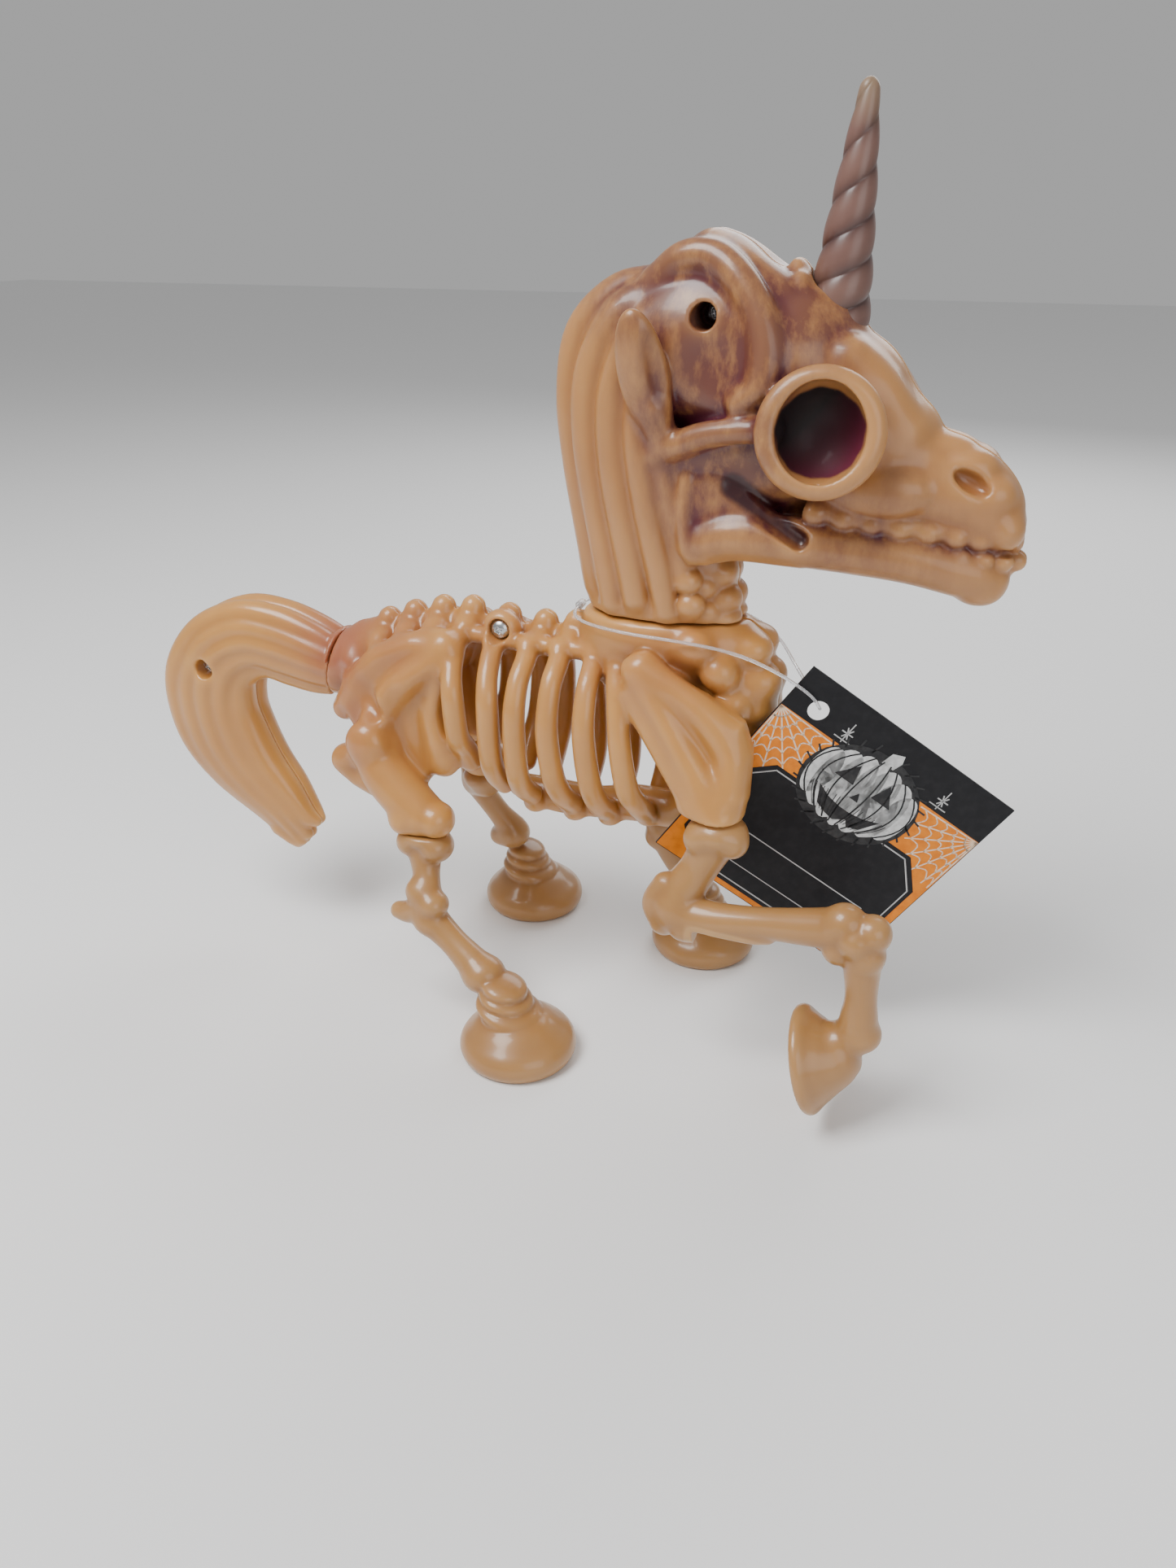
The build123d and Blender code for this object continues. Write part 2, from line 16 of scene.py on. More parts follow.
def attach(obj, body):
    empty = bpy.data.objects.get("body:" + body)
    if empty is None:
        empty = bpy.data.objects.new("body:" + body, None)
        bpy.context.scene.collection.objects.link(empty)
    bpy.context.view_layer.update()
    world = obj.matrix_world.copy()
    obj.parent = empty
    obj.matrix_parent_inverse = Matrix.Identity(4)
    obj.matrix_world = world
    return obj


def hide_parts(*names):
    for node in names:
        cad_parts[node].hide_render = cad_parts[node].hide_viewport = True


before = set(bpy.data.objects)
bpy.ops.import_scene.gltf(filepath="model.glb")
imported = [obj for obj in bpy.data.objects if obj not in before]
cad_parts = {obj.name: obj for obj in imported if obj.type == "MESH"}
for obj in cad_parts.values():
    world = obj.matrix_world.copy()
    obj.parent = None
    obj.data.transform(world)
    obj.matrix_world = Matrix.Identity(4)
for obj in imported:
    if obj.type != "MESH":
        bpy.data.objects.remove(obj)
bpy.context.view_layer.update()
MM = 0.001


def placed(name, data):
    """New object in the scene that shows the given data."""
    thing = bpy.data.objects.new(name, data)
    bpy.context.scene.collection.objects.link(thing)
    return thing


# %% [markdown]
# ## Camera
# The camera comes first, so that every later step can be judged from the same place. It
# stands a little above the figure, on its right and ahead of it, quite close: a short lens
# used close up makes the head look large and the hooves small, as a small toy does when
# it is held near the eye.

# %% Camera
lens = bpy.data.cameras.new("studio_camera")
lens.sensor_width = 36.0
lens.lens = 27.05
lens.clip_start = 0.01
camera = placed("studio_camera", lens)
right = Vector((0.9397, 0.3420, 0.0))
forward = Vector((-0.3074, 0.8446, -0.4384))
camera_up = right.cross(forward)
turn = Matrix((right, camera_up, -forward)).transposed().to_4x4()
eye_point = Vector((0.1152, -0.2693, 0.2040))
camera.matrix_world = Matrix.Translation(eye_point) @ turn
bpy.context.scene.camera = camera
print("camera: height", round(eye_point.z / MM), "mm, lens", lens.lens, "mm")

# %% [markdown]
# ## Floor and light
# A pale floor that runs far behind the figure needs no separate wall. Large, soft area
# lights give the plastic its long highlights: a key above on the left, a weaker fill on
# the right, and a band behind that draws a bright edge round the bones.

# %% Floor
floor_mesh = bpy.data.meshes.new("studio_floor")
far = 3.0
floor_mesh.from_pydata([(-far, -far, 0), (far, -far, 0), (far, far, 0), (-far, far, 0)], [],
                       [(0, 1, 2, 3)])
floor = placed("studio_floor", floor_mesh)
floor_paint = bpy.data.materials.new("pale_floor")
floor_paint.use_nodes = True
floor_shader = floor_paint.node_tree.nodes["Principled BSDF"]
floor_shader.inputs["Base Color"].default_value = (0.86, 0.86, 0.86, 1)
floor_shader.inputs["Roughness"].default_value = 0.9
floor_mesh.materials.append(floor_paint)
print("floor, m:", 2 * far, "x", 2 * far)

# %% Lights
def soft_light(name, place, target, size, power):
    """A square area light that faces its target."""
    lamp = bpy.data.lights.new(name, "AREA")
    lamp.size = size
    lamp.energy = power
    light = placed(name, lamp)
    light.location = place
    aim = Vector(target) - Vector(place)
    light.rotation_euler = aim.to_track_quat("-Z", "Y").to_euler()
    print(f"{name}: {power} W, {size} m wide, {aim.length:.2f} m away")


world = bpy.data.worlds.new("studio_air")
world.use_nodes = True
world.node_tree.nodes["Background"].inputs["Color"].default_value = (1, 1, 1, 1)
world.node_tree.nodes["Background"].inputs["Strength"].default_value = 0.42
bpy.context.scene.world = world
middle = (0.0, 0.0, 0.11)
soft_light("key_light", (-0.25, -0.35, 0.75), middle, 0.4, 7.5)
soft_light("fill_light", (0.6, -0.5, 0.35), middle, 0.5, 1.6)
soft_light("rim_light", (0.1, 0.7, 0.6), middle, 0.6, 3.6)

# %% [markdown]
# ## Clay: a block of distances
# Bones are hard to build from quads by hand, because knobs, shafts and plates melt into
# one another. A sculptor would press lumps of clay together. The same can be done with
# numbers: a grid holds, for every point, its distance to the nearest surface. Adding a
# lump is a minimum, cutting a hollow is a maximum, and a smooth minimum leaves the small
# fillet that moulded plastic has. OpenVDB then skins the zero level with quads.
#
# All measures in the clay are millimetres. The figure is symmetric in places, so one half
# is sculpted at negative y, its right side, and mirrored for the other mould half.

# %% Clay
FINE = 0.5   # grid step
FAR = 6.0                            # distances are not followed further than this


class Clay:
    """A grid of distances, in millimetres, that shapes are added to and cut from."""

    def __init__(self, low, high, step=FINE):
        self.step = step
        self.low = np.array(low, dtype=np.float64)
        counts = np.ceil((np.array(high) - self.low) / step).astype(int) + 1
        self.field = np.full(counts, FAR, dtype=np.float32)

    def window(self, low, high, margin):
        """The part of the grid near a shape, with its coordinates."""
        first = np.floor((np.array(low) - margin - self.low) / self.step).astype(int)
        last = np.ceil((np.array(high) + margin - self.low) / self.step).astype(int) + 1
        first = np.clip(first, 0, self.field.shape)
        last = np.clip(last, 0, self.field.shape)
        axes = [(self.low[i] + self.step * np.arange(first[i], last[i])).astype(np.float32)
                for i in range(3)]
        cut = tuple(slice(a, b) for a, b in zip(first, last))
        return cut, axes[0][:, None, None], axes[1][None, :, None], axes[2][None, None, :]

    def join(self, shape, melt, sign):
        """Works a shape into the part of the grid that it reaches."""
        measure, low, high = shape
        near, x, y, z = self.window(low, high, 3.0 + melt)
        if min(n.stop - n.start for n in near) > 0:
            self.field[near] = sign * smooth_least(sign * self.field[near], measure(x, y, z), melt)

    def add(self, shape, melt=0.8):
        """Presses a shape on, with a fillet about as wide as melt."""
        self.join(shape, melt, 1)

    def cut(self, shape, melt=0.6):
        """Takes a shape away, with a softened edge."""
        self.join(shape, melt, -1)

    def weigh(self, label):
        """Prints how much clay there is so far."""
        print(f"{label}: {(self.field < 0).sum() * self.step ** 3 / 1000:.1f} cm3 of clay")

    def copy(self):
        """The same clay again, so that one half can get its own hole."""
        twin = Clay.__new__(Clay)
        twin.step, twin.low, twin.field = self.step, self.low, self.field.copy()
        return twin


def smooth_least(a, b, melt):
    """The smaller of two distances, rounded where they are nearly equal."""
    if melt <= 0:
        return np.minimum(a, b)
    share = np.maximum(melt - np.abs(a - b), 0) / melt
    return np.minimum(a, b) - share * share * melt * 0.25


# %% [markdown]
# ## Shapes to press in
# Four shapes make every bone: a ball stretched on three axes, a bar whose ends differ in
# radius, a strand, which is a smooth chain of such bars, and a flat plate cut to an
# outline. Each is a function for the distance, with the box that it fills. A slab is half
# of space, for the flat cuts.

# %% Shapes
def ball(centre, radii, turned=None):
    """Ellipsoid; turned is a rotation, as (axis letter, degrees) pairs applied in order."""
    centre = np.array(centre, dtype=np.float32)
    radii = np.broadcast_to(np.array(radii, dtype=np.float32), (3,))
    spin = np.eye(3)
    for letter, degrees in turned or ():
        spin = np.array(Matrix.Rotation(math.radians(degrees), 3, letter)) @ spin
    spin = spin.astype(np.float32)

    def measure(x, y, z):
        dx, dy, dz = x - centre[0], y - centre[1], z - centre[2]
        local = [spin[0, i] * dx + spin[1, i] * dy + spin[2, i] * dz for i in range(3)]
        near = np.sqrt(sum((l / r) ** 2 for l, r in zip(local, radii)))
        slope = np.sqrt(sum((l / (r * r)) ** 2 for l, r in zip(local, radii)))
        return near * (near - 1) / np.maximum(slope, 1e-4)

    reach = float(radii.max())
    return measure, centre - reach, centre + reach


def bar(start, end, start_radius, end_radius):
    """Straight bar with round ends."""
    a = np.array(start, dtype=np.float32)
    b = np.array(end, dtype=np.float32)
    run = b - a
    square = float(run @ run) or 1.0

    def measure(x, y, z):
        dx, dy, dz = x - a[0], y - a[1], z - a[2]
        t = np.clip((dx * run[0] + dy * run[1] + dz * run[2]) / square, 0, 1)
        gap = np.sqrt((dx - t * run[0]) ** 2 + (dy - t * run[1]) ** 2 + (dz - t * run[2]) ** 2)
        return gap - (start_radius + t * (end_radius - start_radius))

    reach = max(start_radius, end_radius)
    return measure, np.minimum(a, b) - reach, np.maximum(a, b) + reach


def smooth_line(points, steps=6):
    """Points on a smooth curve through the given rows of numbers."""
    rows = np.array(points, dtype=np.float64)
    padded = np.vstack([2 * rows[0] - rows[1], rows, 2 * rows[-1] - rows[-2]])
    out = []
    for p0, p1, p2, p3 in zip(padded, padded[1:], padded[2:], padded[3:]):
        for t in np.arange(steps) / steps:
            out.append(0.5 * (2 * p1 + (p2 - p0) * t + (2 * p0 - 5 * p1 + 4 * p2 - p3) * t ** 2
                              + (3 * p1 - p0 - 3 * p2 + p3) * t ** 3))
    out.append(rows[-1])
    return np.array(out)


def strand(points, steps=6):
    """Bars along a smooth curve through rows of (x, y, z, radius)."""
    line = smooth_line(points, steps)
    return [bar(a[:3], b[:3], float(a[3]), float(b[3])) for a, b in zip(line, line[1:])]


def together(shapes):
    """Several shapes as one, so that they don't swell where they overlap."""
    low = np.min([s[1] for s in shapes], axis=0)
    high = np.max([s[2] for s in shapes], axis=0)

    def measure(x, y, z):
        block = Clay.__new__(Clay)
        block.step = float(x[1, 0, 0] - x[0, 0, 0]) if x.shape[0] > 1 else 1.0
        block.low = np.array([x.flat[0], y.flat[0], z.flat[0]], dtype=np.float64)
        block.field = np.full((x.shape[0], y.shape[1], z.shape[2]), FAR, dtype=np.float32)
        for shape in shapes:
            block.add(shape, 0)
        return block.field

    return measure, low, high


def plate(outline, y_near, y_far, soft=1.5):
    """Flat bone between two distances from the mid-plane, its rim rounded by soft."""
    corners = np.array(outline, dtype=np.float32)
    y_mid, half = 0.5 * (y_near + y_far), 0.5 * abs(y_far - y_near)

    def measure(x, y, z):
        flat_x, flat_z = x[:, :, 0], z[0, 0, :][None, :]
        away = np.full((flat_x.shape[0], flat_z.shape[1]), 1e9, dtype=np.float32)
        inside = np.zeros(away.shape, dtype=bool)
        for (ax, az), (bx, bz) in zip(corners, np.roll(corners, -1, axis=0)):
            ex, ez = bx - ax, bz - az
            t = np.clip(((flat_x - ax) * ex + (flat_z - az) * ez) / (ex * ex + ez * ez), 0, 1)
            away = np.minimum(away, (flat_x - ax - t * ex) ** 2 + (flat_z - az - t * ez) ** 2)
            crosses = (az > flat_z) != (bz > flat_z)
            at = ax + (flat_z - az) * ex / (ez if ez else 1e-9)
            inside ^= crosses & (flat_x < at)
        edge = np.where(inside, -np.sqrt(away), np.sqrt(away)) + soft
        face = np.abs(y - y_mid) - half + soft
        edge = edge[:, None, :]
        outer = np.sqrt(np.maximum(edge, 0) ** 2 + np.maximum(face, 0) ** 2)
        return outer + np.minimum(np.maximum(edge, face), 0) - soft

    low = np.array([corners[:, 0].min(), min(y_near, y_far), corners[:, 1].min()])
    high = np.array([corners[:, 0].max(), max(y_near, y_far), corners[:, 1].max()])
    return measure, low, high


everywhere = np.full(3, -500.0), np.full(3, 500.0)


def slab(axis, edge, side):
    """Half of space, on one side of a level plane; side is -1 for below and 1 for above."""
    def measure(x, y, z):
        here = (x, y, z)[axis]
        return np.broadcast_to((edge - here) * side, np.broadcast(x, y, z).shape)

    return measure, *everywhere


def press(clay, rows, melt, steps=6):
    """Presses on a strand given as rows of (x, y, z, radius)."""
    clay.add(together(strand(rows, steps)), melt)


def bones(clay, rows_of_rows, melt=1.2):
    """Strands, each pressed on in turn."""
    for rows in rows_of_rows:
        press(clay, rows, melt)


def lumps(clay, rows, melt=1.1):
    """Balls, each as a place and its radii."""
    for place, radii in rows:
        clay.add(ball(place, radii), melt)


print("grid step, mm:", FINE)

# %% [markdown]
# ## From clay to mesh
# The skin is made where the distance is nought. Two more numbers are worked out for every
# vertex, because the colour depends on them: relief, which is low in a hollow and high on a
# ridge and sets the painted shade in hollows, the painted highlight on ridges and where the
# wash is held, and any painted patch that a piece needs. They are stored on the mesh as
# attributes, which a material can read.

# %% Skinning
def blurred(field, reach):
    """The field averaged over a cube, by running sums along each axis."""
    out = field
    for axis in range(3):
        pad = [(0, 0)] * 3
        pad[axis] = (reach + 1, reach)
        total = np.cumsum(np.pad(out, pad, mode="edge"), axis=axis, dtype=np.float64)
        size = 2 * reach + 1
        ahead = np.take(total, np.arange(size, total.shape[axis]), axis=axis)
        behind = np.take(total, np.arange(0, total.shape[axis] - size), axis=axis)
        out = ((ahead - behind) / size).astype(np.float32)
    return out


def sampled(field, places):
    """The field's value at places given in grid steps, between its eight neighbours."""
    base = np.clip(np.floor(places).astype(int), 0, np.array(field.shape) - 2)
    part = places - base
    value = np.zeros(len(places))
    for i in (0, 1):
        for j in (0, 1):
            for k in (0, 1):
                weight = (np.abs(1 - i - part[:, 0]) * np.abs(1 - j - part[:, 1])
                          * np.abs(1 - k - part[:, 2]))
                value += weight * field[base[:, 0] + i, base[:, 1] + j, base[:, 2] + k]
    return value


def store(mesh, name, values):
    """Keeps one number for every vertex on the mesh, for the materials to read."""
    layer = mesh.attributes.new(name, "FLOAT", "POINT")
    layer.data.foreach_set("value", np.ascontiguousarray(values, dtype=np.float32))


def skin(name, clay, paint=None, mirror=False):
    """Mesh object round the clay, with its relief and its painted patches as attributes."""
    grid = vdb.FloatGrid(FAR)
    grid.copyFromArray(clay.field)
    points, triangles, quads = grid.convertToPolygons(isovalue=0.0, adaptivity=0.0)
    relief = sampled(blurred(clay.field, max(2, round(2.0 / clay.step))), points)
    places = points * clay.step + clay.low
    patches = {"relief": relief}
    for patch, rule in (paint or {}).items():
        patches[patch] = rule(places[:, 0], places[:, 1], places[:, 2])
    if mirror:
        places = places * (1, -1, 1)
        quads, triangles = quads[:, ::-1], triangles[:, ::-1]
    mesh = bpy.data.meshes.new(name)
    faces = [*quads.tolist(), *triangles.tolist()]
    mesh.from_pydata((places * MM).tolist(), [], faces)
    for patch, values in patches.items():
        store(mesh, patch, values)
    mesh.polygons.foreach_set("use_smooth", np.ones(len(mesh.polygons), dtype=bool))
    volume = mesh_volume(mesh)
    if volume < 0:
        mesh.flip_normals()
    mesh.update()
    print(f"{name}: {len(faces)} faces, {abs(volume) * 1e9:.0f} mm3")
    return placed(name, mesh)


def both_halves(names, clay, left_clay, paint):
    """Cuts two clays at the mid-plane and skins them, the second one mirrored."""
    for half in (clay, left_clay):
        half.cut(slab(1, 0.0, 1), 0.25)
    return skin(names[0], clay, paint), skin(names[1], left_clay, paint, mirror=True)


def mesh_volume(mesh):
    """Signed volume, to tell whether the faces look outwards."""
    mesh.calc_loop_triangles()
    index = np.empty(len(mesh.loop_triangles) * 3, dtype=np.int32)
    mesh.loop_triangles.foreach_get("vertices", index)
    spots = np.empty(len(mesh.vertices) * 3)
    mesh.vertices.foreach_get("co", spots)
    a, b, c = spots.reshape(-1, 3)[index.reshape(-1, 3)].transpose(1, 0, 2)
    return float(np.einsum("ij,ij->i", a, np.cross(b, c)).sum() / 6)

# %% [markdown]
# ## Tail
# The tail is an arch of hair locks, five on each side, that run from the ring at its root
# over the top and down to one tuft of tips. The locks follow two lines, the arch's outer edge and
# its inner one, and each lock is a tapering strand somewhere between them. Pressing them
# together with little melt keeps the grooves between them sharp.

# %% Tail
tail_outer = [(-54, 98.5), (-63, 103.5), (-75, 107), (-88.5, 107), (-103, 100.5), (-113.5, 89.5),
              (-117.3, 78), (-115.2, 63), (-106, 50.5), (-92, 39)]
tail_inner = [(-54.5, 80.5), (-63, 79.5), (-70, 80.5), (-77.5, 82.3), (-83.5, 78.5), (-84, 70), (-81, 62),
              (-76.5, 54), (-71.5, 47), (-68.5, 41)]
tail_half_thickness = [8.2, 8.6, 8.8, 9.2, 9.4, 9.2, 9.0, 8.6, 8.0, 6.4]
outer_locks = [0.09, 0.29, 0.50, 0.71, 0.91]   # shares of the way from outer to inner edge
filling_locks = [0.2, 0.4, 0.6, 0.8]           # they close the gaps underneath
tail_tips = {0.09: (-79.4, -0.8, 30.4, 1.9), 0.29: (-77.6, -0.8, 29.4, 1.6), 0.50: (-76.0, -0.9, 30.4, 2.0),
             0.71: (-73.6, -0.9, 33.0, 2.0), 0.91: (-69.9, -1.0, 38.0, 1.9), 0.2: (-79, -0.5, 31.6, 2.0),
             0.4: (-76.8, -0.5, 31.0, 2.0), 0.6: (-75, -0.5, 33.0, 2.0), 0.8: (-71.6, -0.5, 37.6, 2.0)}


def tail_lock(share, side_share, swell):
    """Rows of (x, y, z, radius) for a lock at a share of the way from outer to inner edge."""
    rows = []
    for (ox, oz), (ix, iz), half in zip(tail_outer, tail_inner, tail_half_thickness):
        width = math.hypot(ox - ix, oz - iz)
        radius = max(1.6, swell * width / (2 * len(outer_locks)))
        inset = radius / width
        s = inset + share * (1 - 2 * inset)
        y = -side_share * max(half - radius, 0)
        rows.append((ox + s * (ix - ox), y, oz + s * (iz - oz), radius))
    return [*rows, tail_tips[share]]


tail_clay = Clay((-121, -11.5, 22), (-50, 0.6, 111))
for share in outer_locks:
    side = math.sin(math.pi * (0.12 + 0.76 * share))
    press(tail_clay, tail_lock(share, side, 1.34), 1.2)
for share in filling_locks:
    press(tail_clay, tail_lock(share, 0.35, 1.5), 1.5)
press(tail_clay, [(-82, -1.2, 34, 3.4), (-77.4, -0.8, 28.8, 1.3)], 1.2)
root_ring = [(-54.6, -1 - 8.2 * math.sin(t), 90 + 9.0 * math.cos(t), 1.4)
             for t in np.linspace(0, math.pi, 9)]
press(tail_clay, root_ring, 1.0, 3)
print("tail locks a side:", len(outer_locks))

# %% Tail halves
tail_axis = Vector((-math.cos(math.radians(12)), 0, math.sin(math.radians(12))))
tail_face = Vector((-55.5, 0, 90.5))


def past_tail_face(gap, side):
    """Space on one side of the tail's turning face: 1 is the trunk's side, -1 the tail's."""
    def measure(x, y, z):
        along = (x - tail_face.x) * tail_axis.x + (z - tail_face.z) * tail_axis.z
        return np.broadcast_to((along - gap) * side, np.broadcast(x, y, z).shape)

    return measure, *everywhere


def screw_well(x, z, y_seat):
    """Driver's hole, from a screw's seat out to the right side."""
    return bar((x, y_seat, z), (x, -40, z), well_radius, well_radius)


well_radius = 2.8
tail_clay.cut(past_tail_face(0.45, 1), 0.3)
tail_left_clay = tail_clay.copy()
tail_clay.cut(screw_well(-97, 85.5, -6.8), 0.8)


def spot(dx, dz, reach, strength):
    """Round patch of paint that fades with the distance from its middle."""
    return strength * np.exp(-(dx ** 2 + dz ** 2) / (2 * reach ** 2))


def root_blush(x, y, z):
    """Red-brown tint, strongest at the tail's root and fading along the arch and the rump."""
    return 0.75 * np.exp(-((x + 54) / 13) ** 2) * np.clip((z - 78) / 16, 0, 1)


tail_right, tail_left = both_halves(("tail_right_shell", "tail_left_shell"), tail_clay, tail_left_clay,
                                    {"blush": root_blush})

# %% [markdown]
# ## Trunk
# The trunk is what a toy maker keeps of a horse: a spine of rounded bumps, six ribs a
# side, a breastbone, a pelvis with the thighs, and the shoulder blades. All of it is one
# clay, from the tail's ring to the turning face of the neck.

# %% Spine
trunk_clay = Clay((-60, -29.5, 49), (72, 0.6, 117))
spine_tips = [(-48.5, 102.6), (-40.2, 107.8), (-32.2, 110.6), (-23.8, 112.8), (-15.2, 113.6), (-5.0, 112.6),
              (5.2, 112.0), (13.8, 112.8), (21, 113.6)]
for tip_x, tip_z in spine_tips:
    trunk_clay.add(ball((tip_x, 0, tip_z - 7.4), (4.5, 5.4, 4.6)), 2.0)
    trunk_clay.add(bar((tip_x, 0, tip_z - 6), (tip_x + 0.6, 0, tip_z - 3.0), 3.5, 3.2), 1.8)
    trunk_clay.add(ball((tip_x + 0.2, -4.4, tip_z - 7.0), (3.0, 3.4, 2.5)), 1.8)
press(trunk_clay, [(x, 0, z - 8.3, 4.0) for x, z in spine_tips], 1.2)
side_ridge = [(-20, -4.6, 104.2, 2.0), (-10, -5.4, 105.0, 2.2), (2, -5.8, 104.4, 2.2),
              (14, -6.2, 104.4, 2.3), (26, -7.6, 105, 2.8)]
press(trunk_clay, side_ridge, 1.2)
print("spine bumps:", len(spine_tips))
for tip_x, tip_z in spine_tips[:4]:
    trunk_clay.add(ball((tip_x + 0.5, -6.2, tip_z - 8.6), (3.5, 4.0, 3.2)), 2.0)
    trunk_clay.add(ball((tip_x + 1.5, -8.8, tip_z - 13.0), (3.0, 2.9, 3.0)), 1.8)

# %% Ribs and breastbone
rib_top = [-15.6, -5.3, 4.2, 12.9, 22.1, 28.6]
rib_middle = [(-12.9, 91.4), (-3.3, 90.5), (3.9, 88.4), (12.8, 86.3), (22.6, 87), (32.2, 84.7)]
rib_bottom = [(-12.6, -9.5, 70.8), (-4.0, -7.6, 64.6), (3.4, -6.8, 62.2), (14.9, -6.4, 61.2),
              (24.8, -6.2, 60.6), (35.4, -6.4, 62)]
for top_x, (mid_x, mid_z), (low_x, low_y, low_z) in zip(rib_top, rib_middle, rib_bottom):
    arch = [(top_x - 0.8, -5.2, 104.2, 2.8), (top_x, -10.5, 101.6, 2.7),
            (0.5 * (top_x + mid_x), -15.6, 97, 2.7),
            (mid_x, -18.4, mid_z, 2.9), (mid_x + 0.5 * (low_x - mid_x), -17.0, 0.5 * (mid_z + low_z), 3.0),
            (low_x - 0.2, -13, low_z + 5.5, 3.0), (low_x, low_y, low_z, 2.9)]
    press(trunk_clay, arch, 1.3, 5)
    trunk_clay.add(ball((top_x - 0.6, -7.2, 104.4), (2.9, 2.9, 2.6)), 1.0)
breast = [(-2.5, 0, 60.8, 3.4), (8, 0, 59.5, 4.6), (20, 0, 59.5, 4.4), (31, 0, 61, 5.0),
          (42.5, 0, 61.5, 5.2), (50, 0, 68, 6.0)]
press(trunk_clay, breast, 1.2)
print("ribs a side:", len(rib_top))
lumps(trunk_clay, [((x, -2.8, z), (3.6, 4.6, 3.2)) for x, z in ((3.4, 58.6), (14.9, 58.0), (24.8, 58.2),
                                                                (35.4, 60))],
      1.2)

# %% Chest and root of the neck
lumps(trunk_clay, [
    ((50, 0, 72), (7, 7, 9)), ((56, 0, 84), (9, 9.5, 11)), ((57, 0, 98), (10, 10.5, 10)),
    ((46, -3, 88), (10, 8, 12)), ((36, -3, 101), (16, 9, 9)), ((50, 0, 108), (13, 10.5, 10)),
    ((62.5, -3.2, 94), (4.8, 4.4, 4.6)), ((63.2, -3.2, 101), (5.0, 4.8, 4.6)),
    ((60.5, -3.4, 109.2), (5.0, 5.0, 4.2)), ((60.5, -4, 86), (4.6, 4.6, 4.6)),
    ((57, -9.5, 96), (4.4, 4, 4.4)), ((56, -8.6, 87.5), (4.2, 4, 4.4)), ((54, -10.4, 104.5), (4.6, 4, 4.4)),
    ((48, -11.6, 110.5), (4.6, 3.6, 4))], 2.4)
neck_ring = [(37 + 18.6 * math.cos(t), -11.2 * math.sin(t), 113.4, 1.7)
             for t in np.linspace(0, math.pi, 15)]
trunk_clay.add(ball((38, 0, 109.5), (21.5, 13.6, 9.5)), 3.0)
press(trunk_clay, neck_ring, 1.2, 2)
trunk_clay.weigh("trunk with chest")

# %% Pelvis and thigh
blade = [(-18.6, 104.6), (-27, 104.5), (-38, 100), (-45.5, 92), (-49, 84), (-46.5, 78), (-44, 72.5),
         (-46, 66.5), (-44, 62), (-34, 58.5), (-24.5, 64), (-19.5, 70), (-21, 80), (-22.5, 90), (-18, 99)]
trunk_clay.add(plate(blade, -7.5, -14.6, 2.6), 2.0)
bones(trunk_clay, [
    [(-17.5, -11.6, 103.6, 2.8), (-21, -13.6, 99, 3.2), (-29, -15.2, 92.5, 3.6), (-36, -15.5, 84, 4.2),
     (-38, -16, 76, 5.4)],
    [(-20, -10.5, 104.2, 2.4), (-30, -11, 101.8, 2.4), (-40, -11, 95.4, 2.8), (-47.5, -10.5, 85.5, 3.2),
     (-50, -9.6, 81.2, 3.6)],
    [(-17.2, -12, 102.6, 2.4), (-18.8, -13, 94, 2.4), (-21.2, -13.4, 85, 2.6), (-19.8, -13.5, 76, 3.4),
     (-19.2, -12.4, 70, 3.6)],
    [(-38, -15, 74, 6.0), (-44, -12.6, 70, 4.0), (-50.6, -10.6, 66, 3.6)],
    [(-38, -16.5, 72, 6.2), (-34, -18, 67, 6.6), (-28, -19.2, 61.5, 6.6), (-23.4, -19.8, 57.6, 6.4)],
    [(-50.8, -10.4, 65.6, 3.7), (-47, -10.8, 61.6, 3.4), (-38, -12.4, 59, 3.4)]], 3.0)
lumps(trunk_clay, [
    ((-27.2, -22, 57), (4.6, 4.6, 5)), ((-18.6, -20.5, 57), (5, 5.4, 5)),
    ((-38.5, -19.2, 75.5), (6.2, 4.6, 6.6)), ((-19, -12.5, 72), (4, 3.6, 4.2))])
trunk_clay.cut(ball((-28.0, -20.4, 82.5), (4.6, 3.0, 10.5), [("Y", -16)]), 3.0)
trunk_clay.cut(ball((-40.0, -18.4, 88.5), (7.4, 3.6, 3.0), [("Y", 48)]), 2.6)
press(trunk_clay, [(-43, 0, 96, 8.4), (-50, 0, 92.5, 8.8), (-56, 0, 90.4, 9.2)], 1.8)
trunk_clay.weigh("trunk with pelvis")

# %% Shoulder blade
scapula = [(33, 106.5), (37.5, 108.2), (43, 104.5), (53, 100.4), (62.4, 95), (64.8, 88), (64.5, 77),
           (56, 70), (50.5, 73), (44, 82), (37, 92), (32.6, 99)]
trunk_clay.add(plate(scapula, -12.2, -19.4, 2.8), 2.0)
bones(trunk_clay, [
    [(36, -17.2, 105.2, 3.4), (41, -18.6, 98, 3.0), (48, -20, 88, 3.4), (54, -21, 79, 4.6),
     (58, -21.4, 71.8, 6.0)],
    [(37.4, -16.4, 106, 3.0), (46, -17.4, 101.4, 2.6), (54, -18.4, 95, 2.8), (60, -18.8, 87, 3.6),
     (60.5, -20, 78, 4.4)],
    [(33.6, -15.5, 99, 2.4), (38.6, -17.8, 92, 2.4), (45, -19.2, 83.2, 2.8), (51.6, -20.2, 75.6, 4.0)]],
     3.2)
press(trunk_clay, [(40, -4, 99, 7.5), (41, -13, 98.4, 6.5)], 1.5)
trunk_clay.add(ball((56, -19.5, 74), (8.4, 6.6, 6)), 1.4)
trunk_clay.weigh("trunk with shoulder")

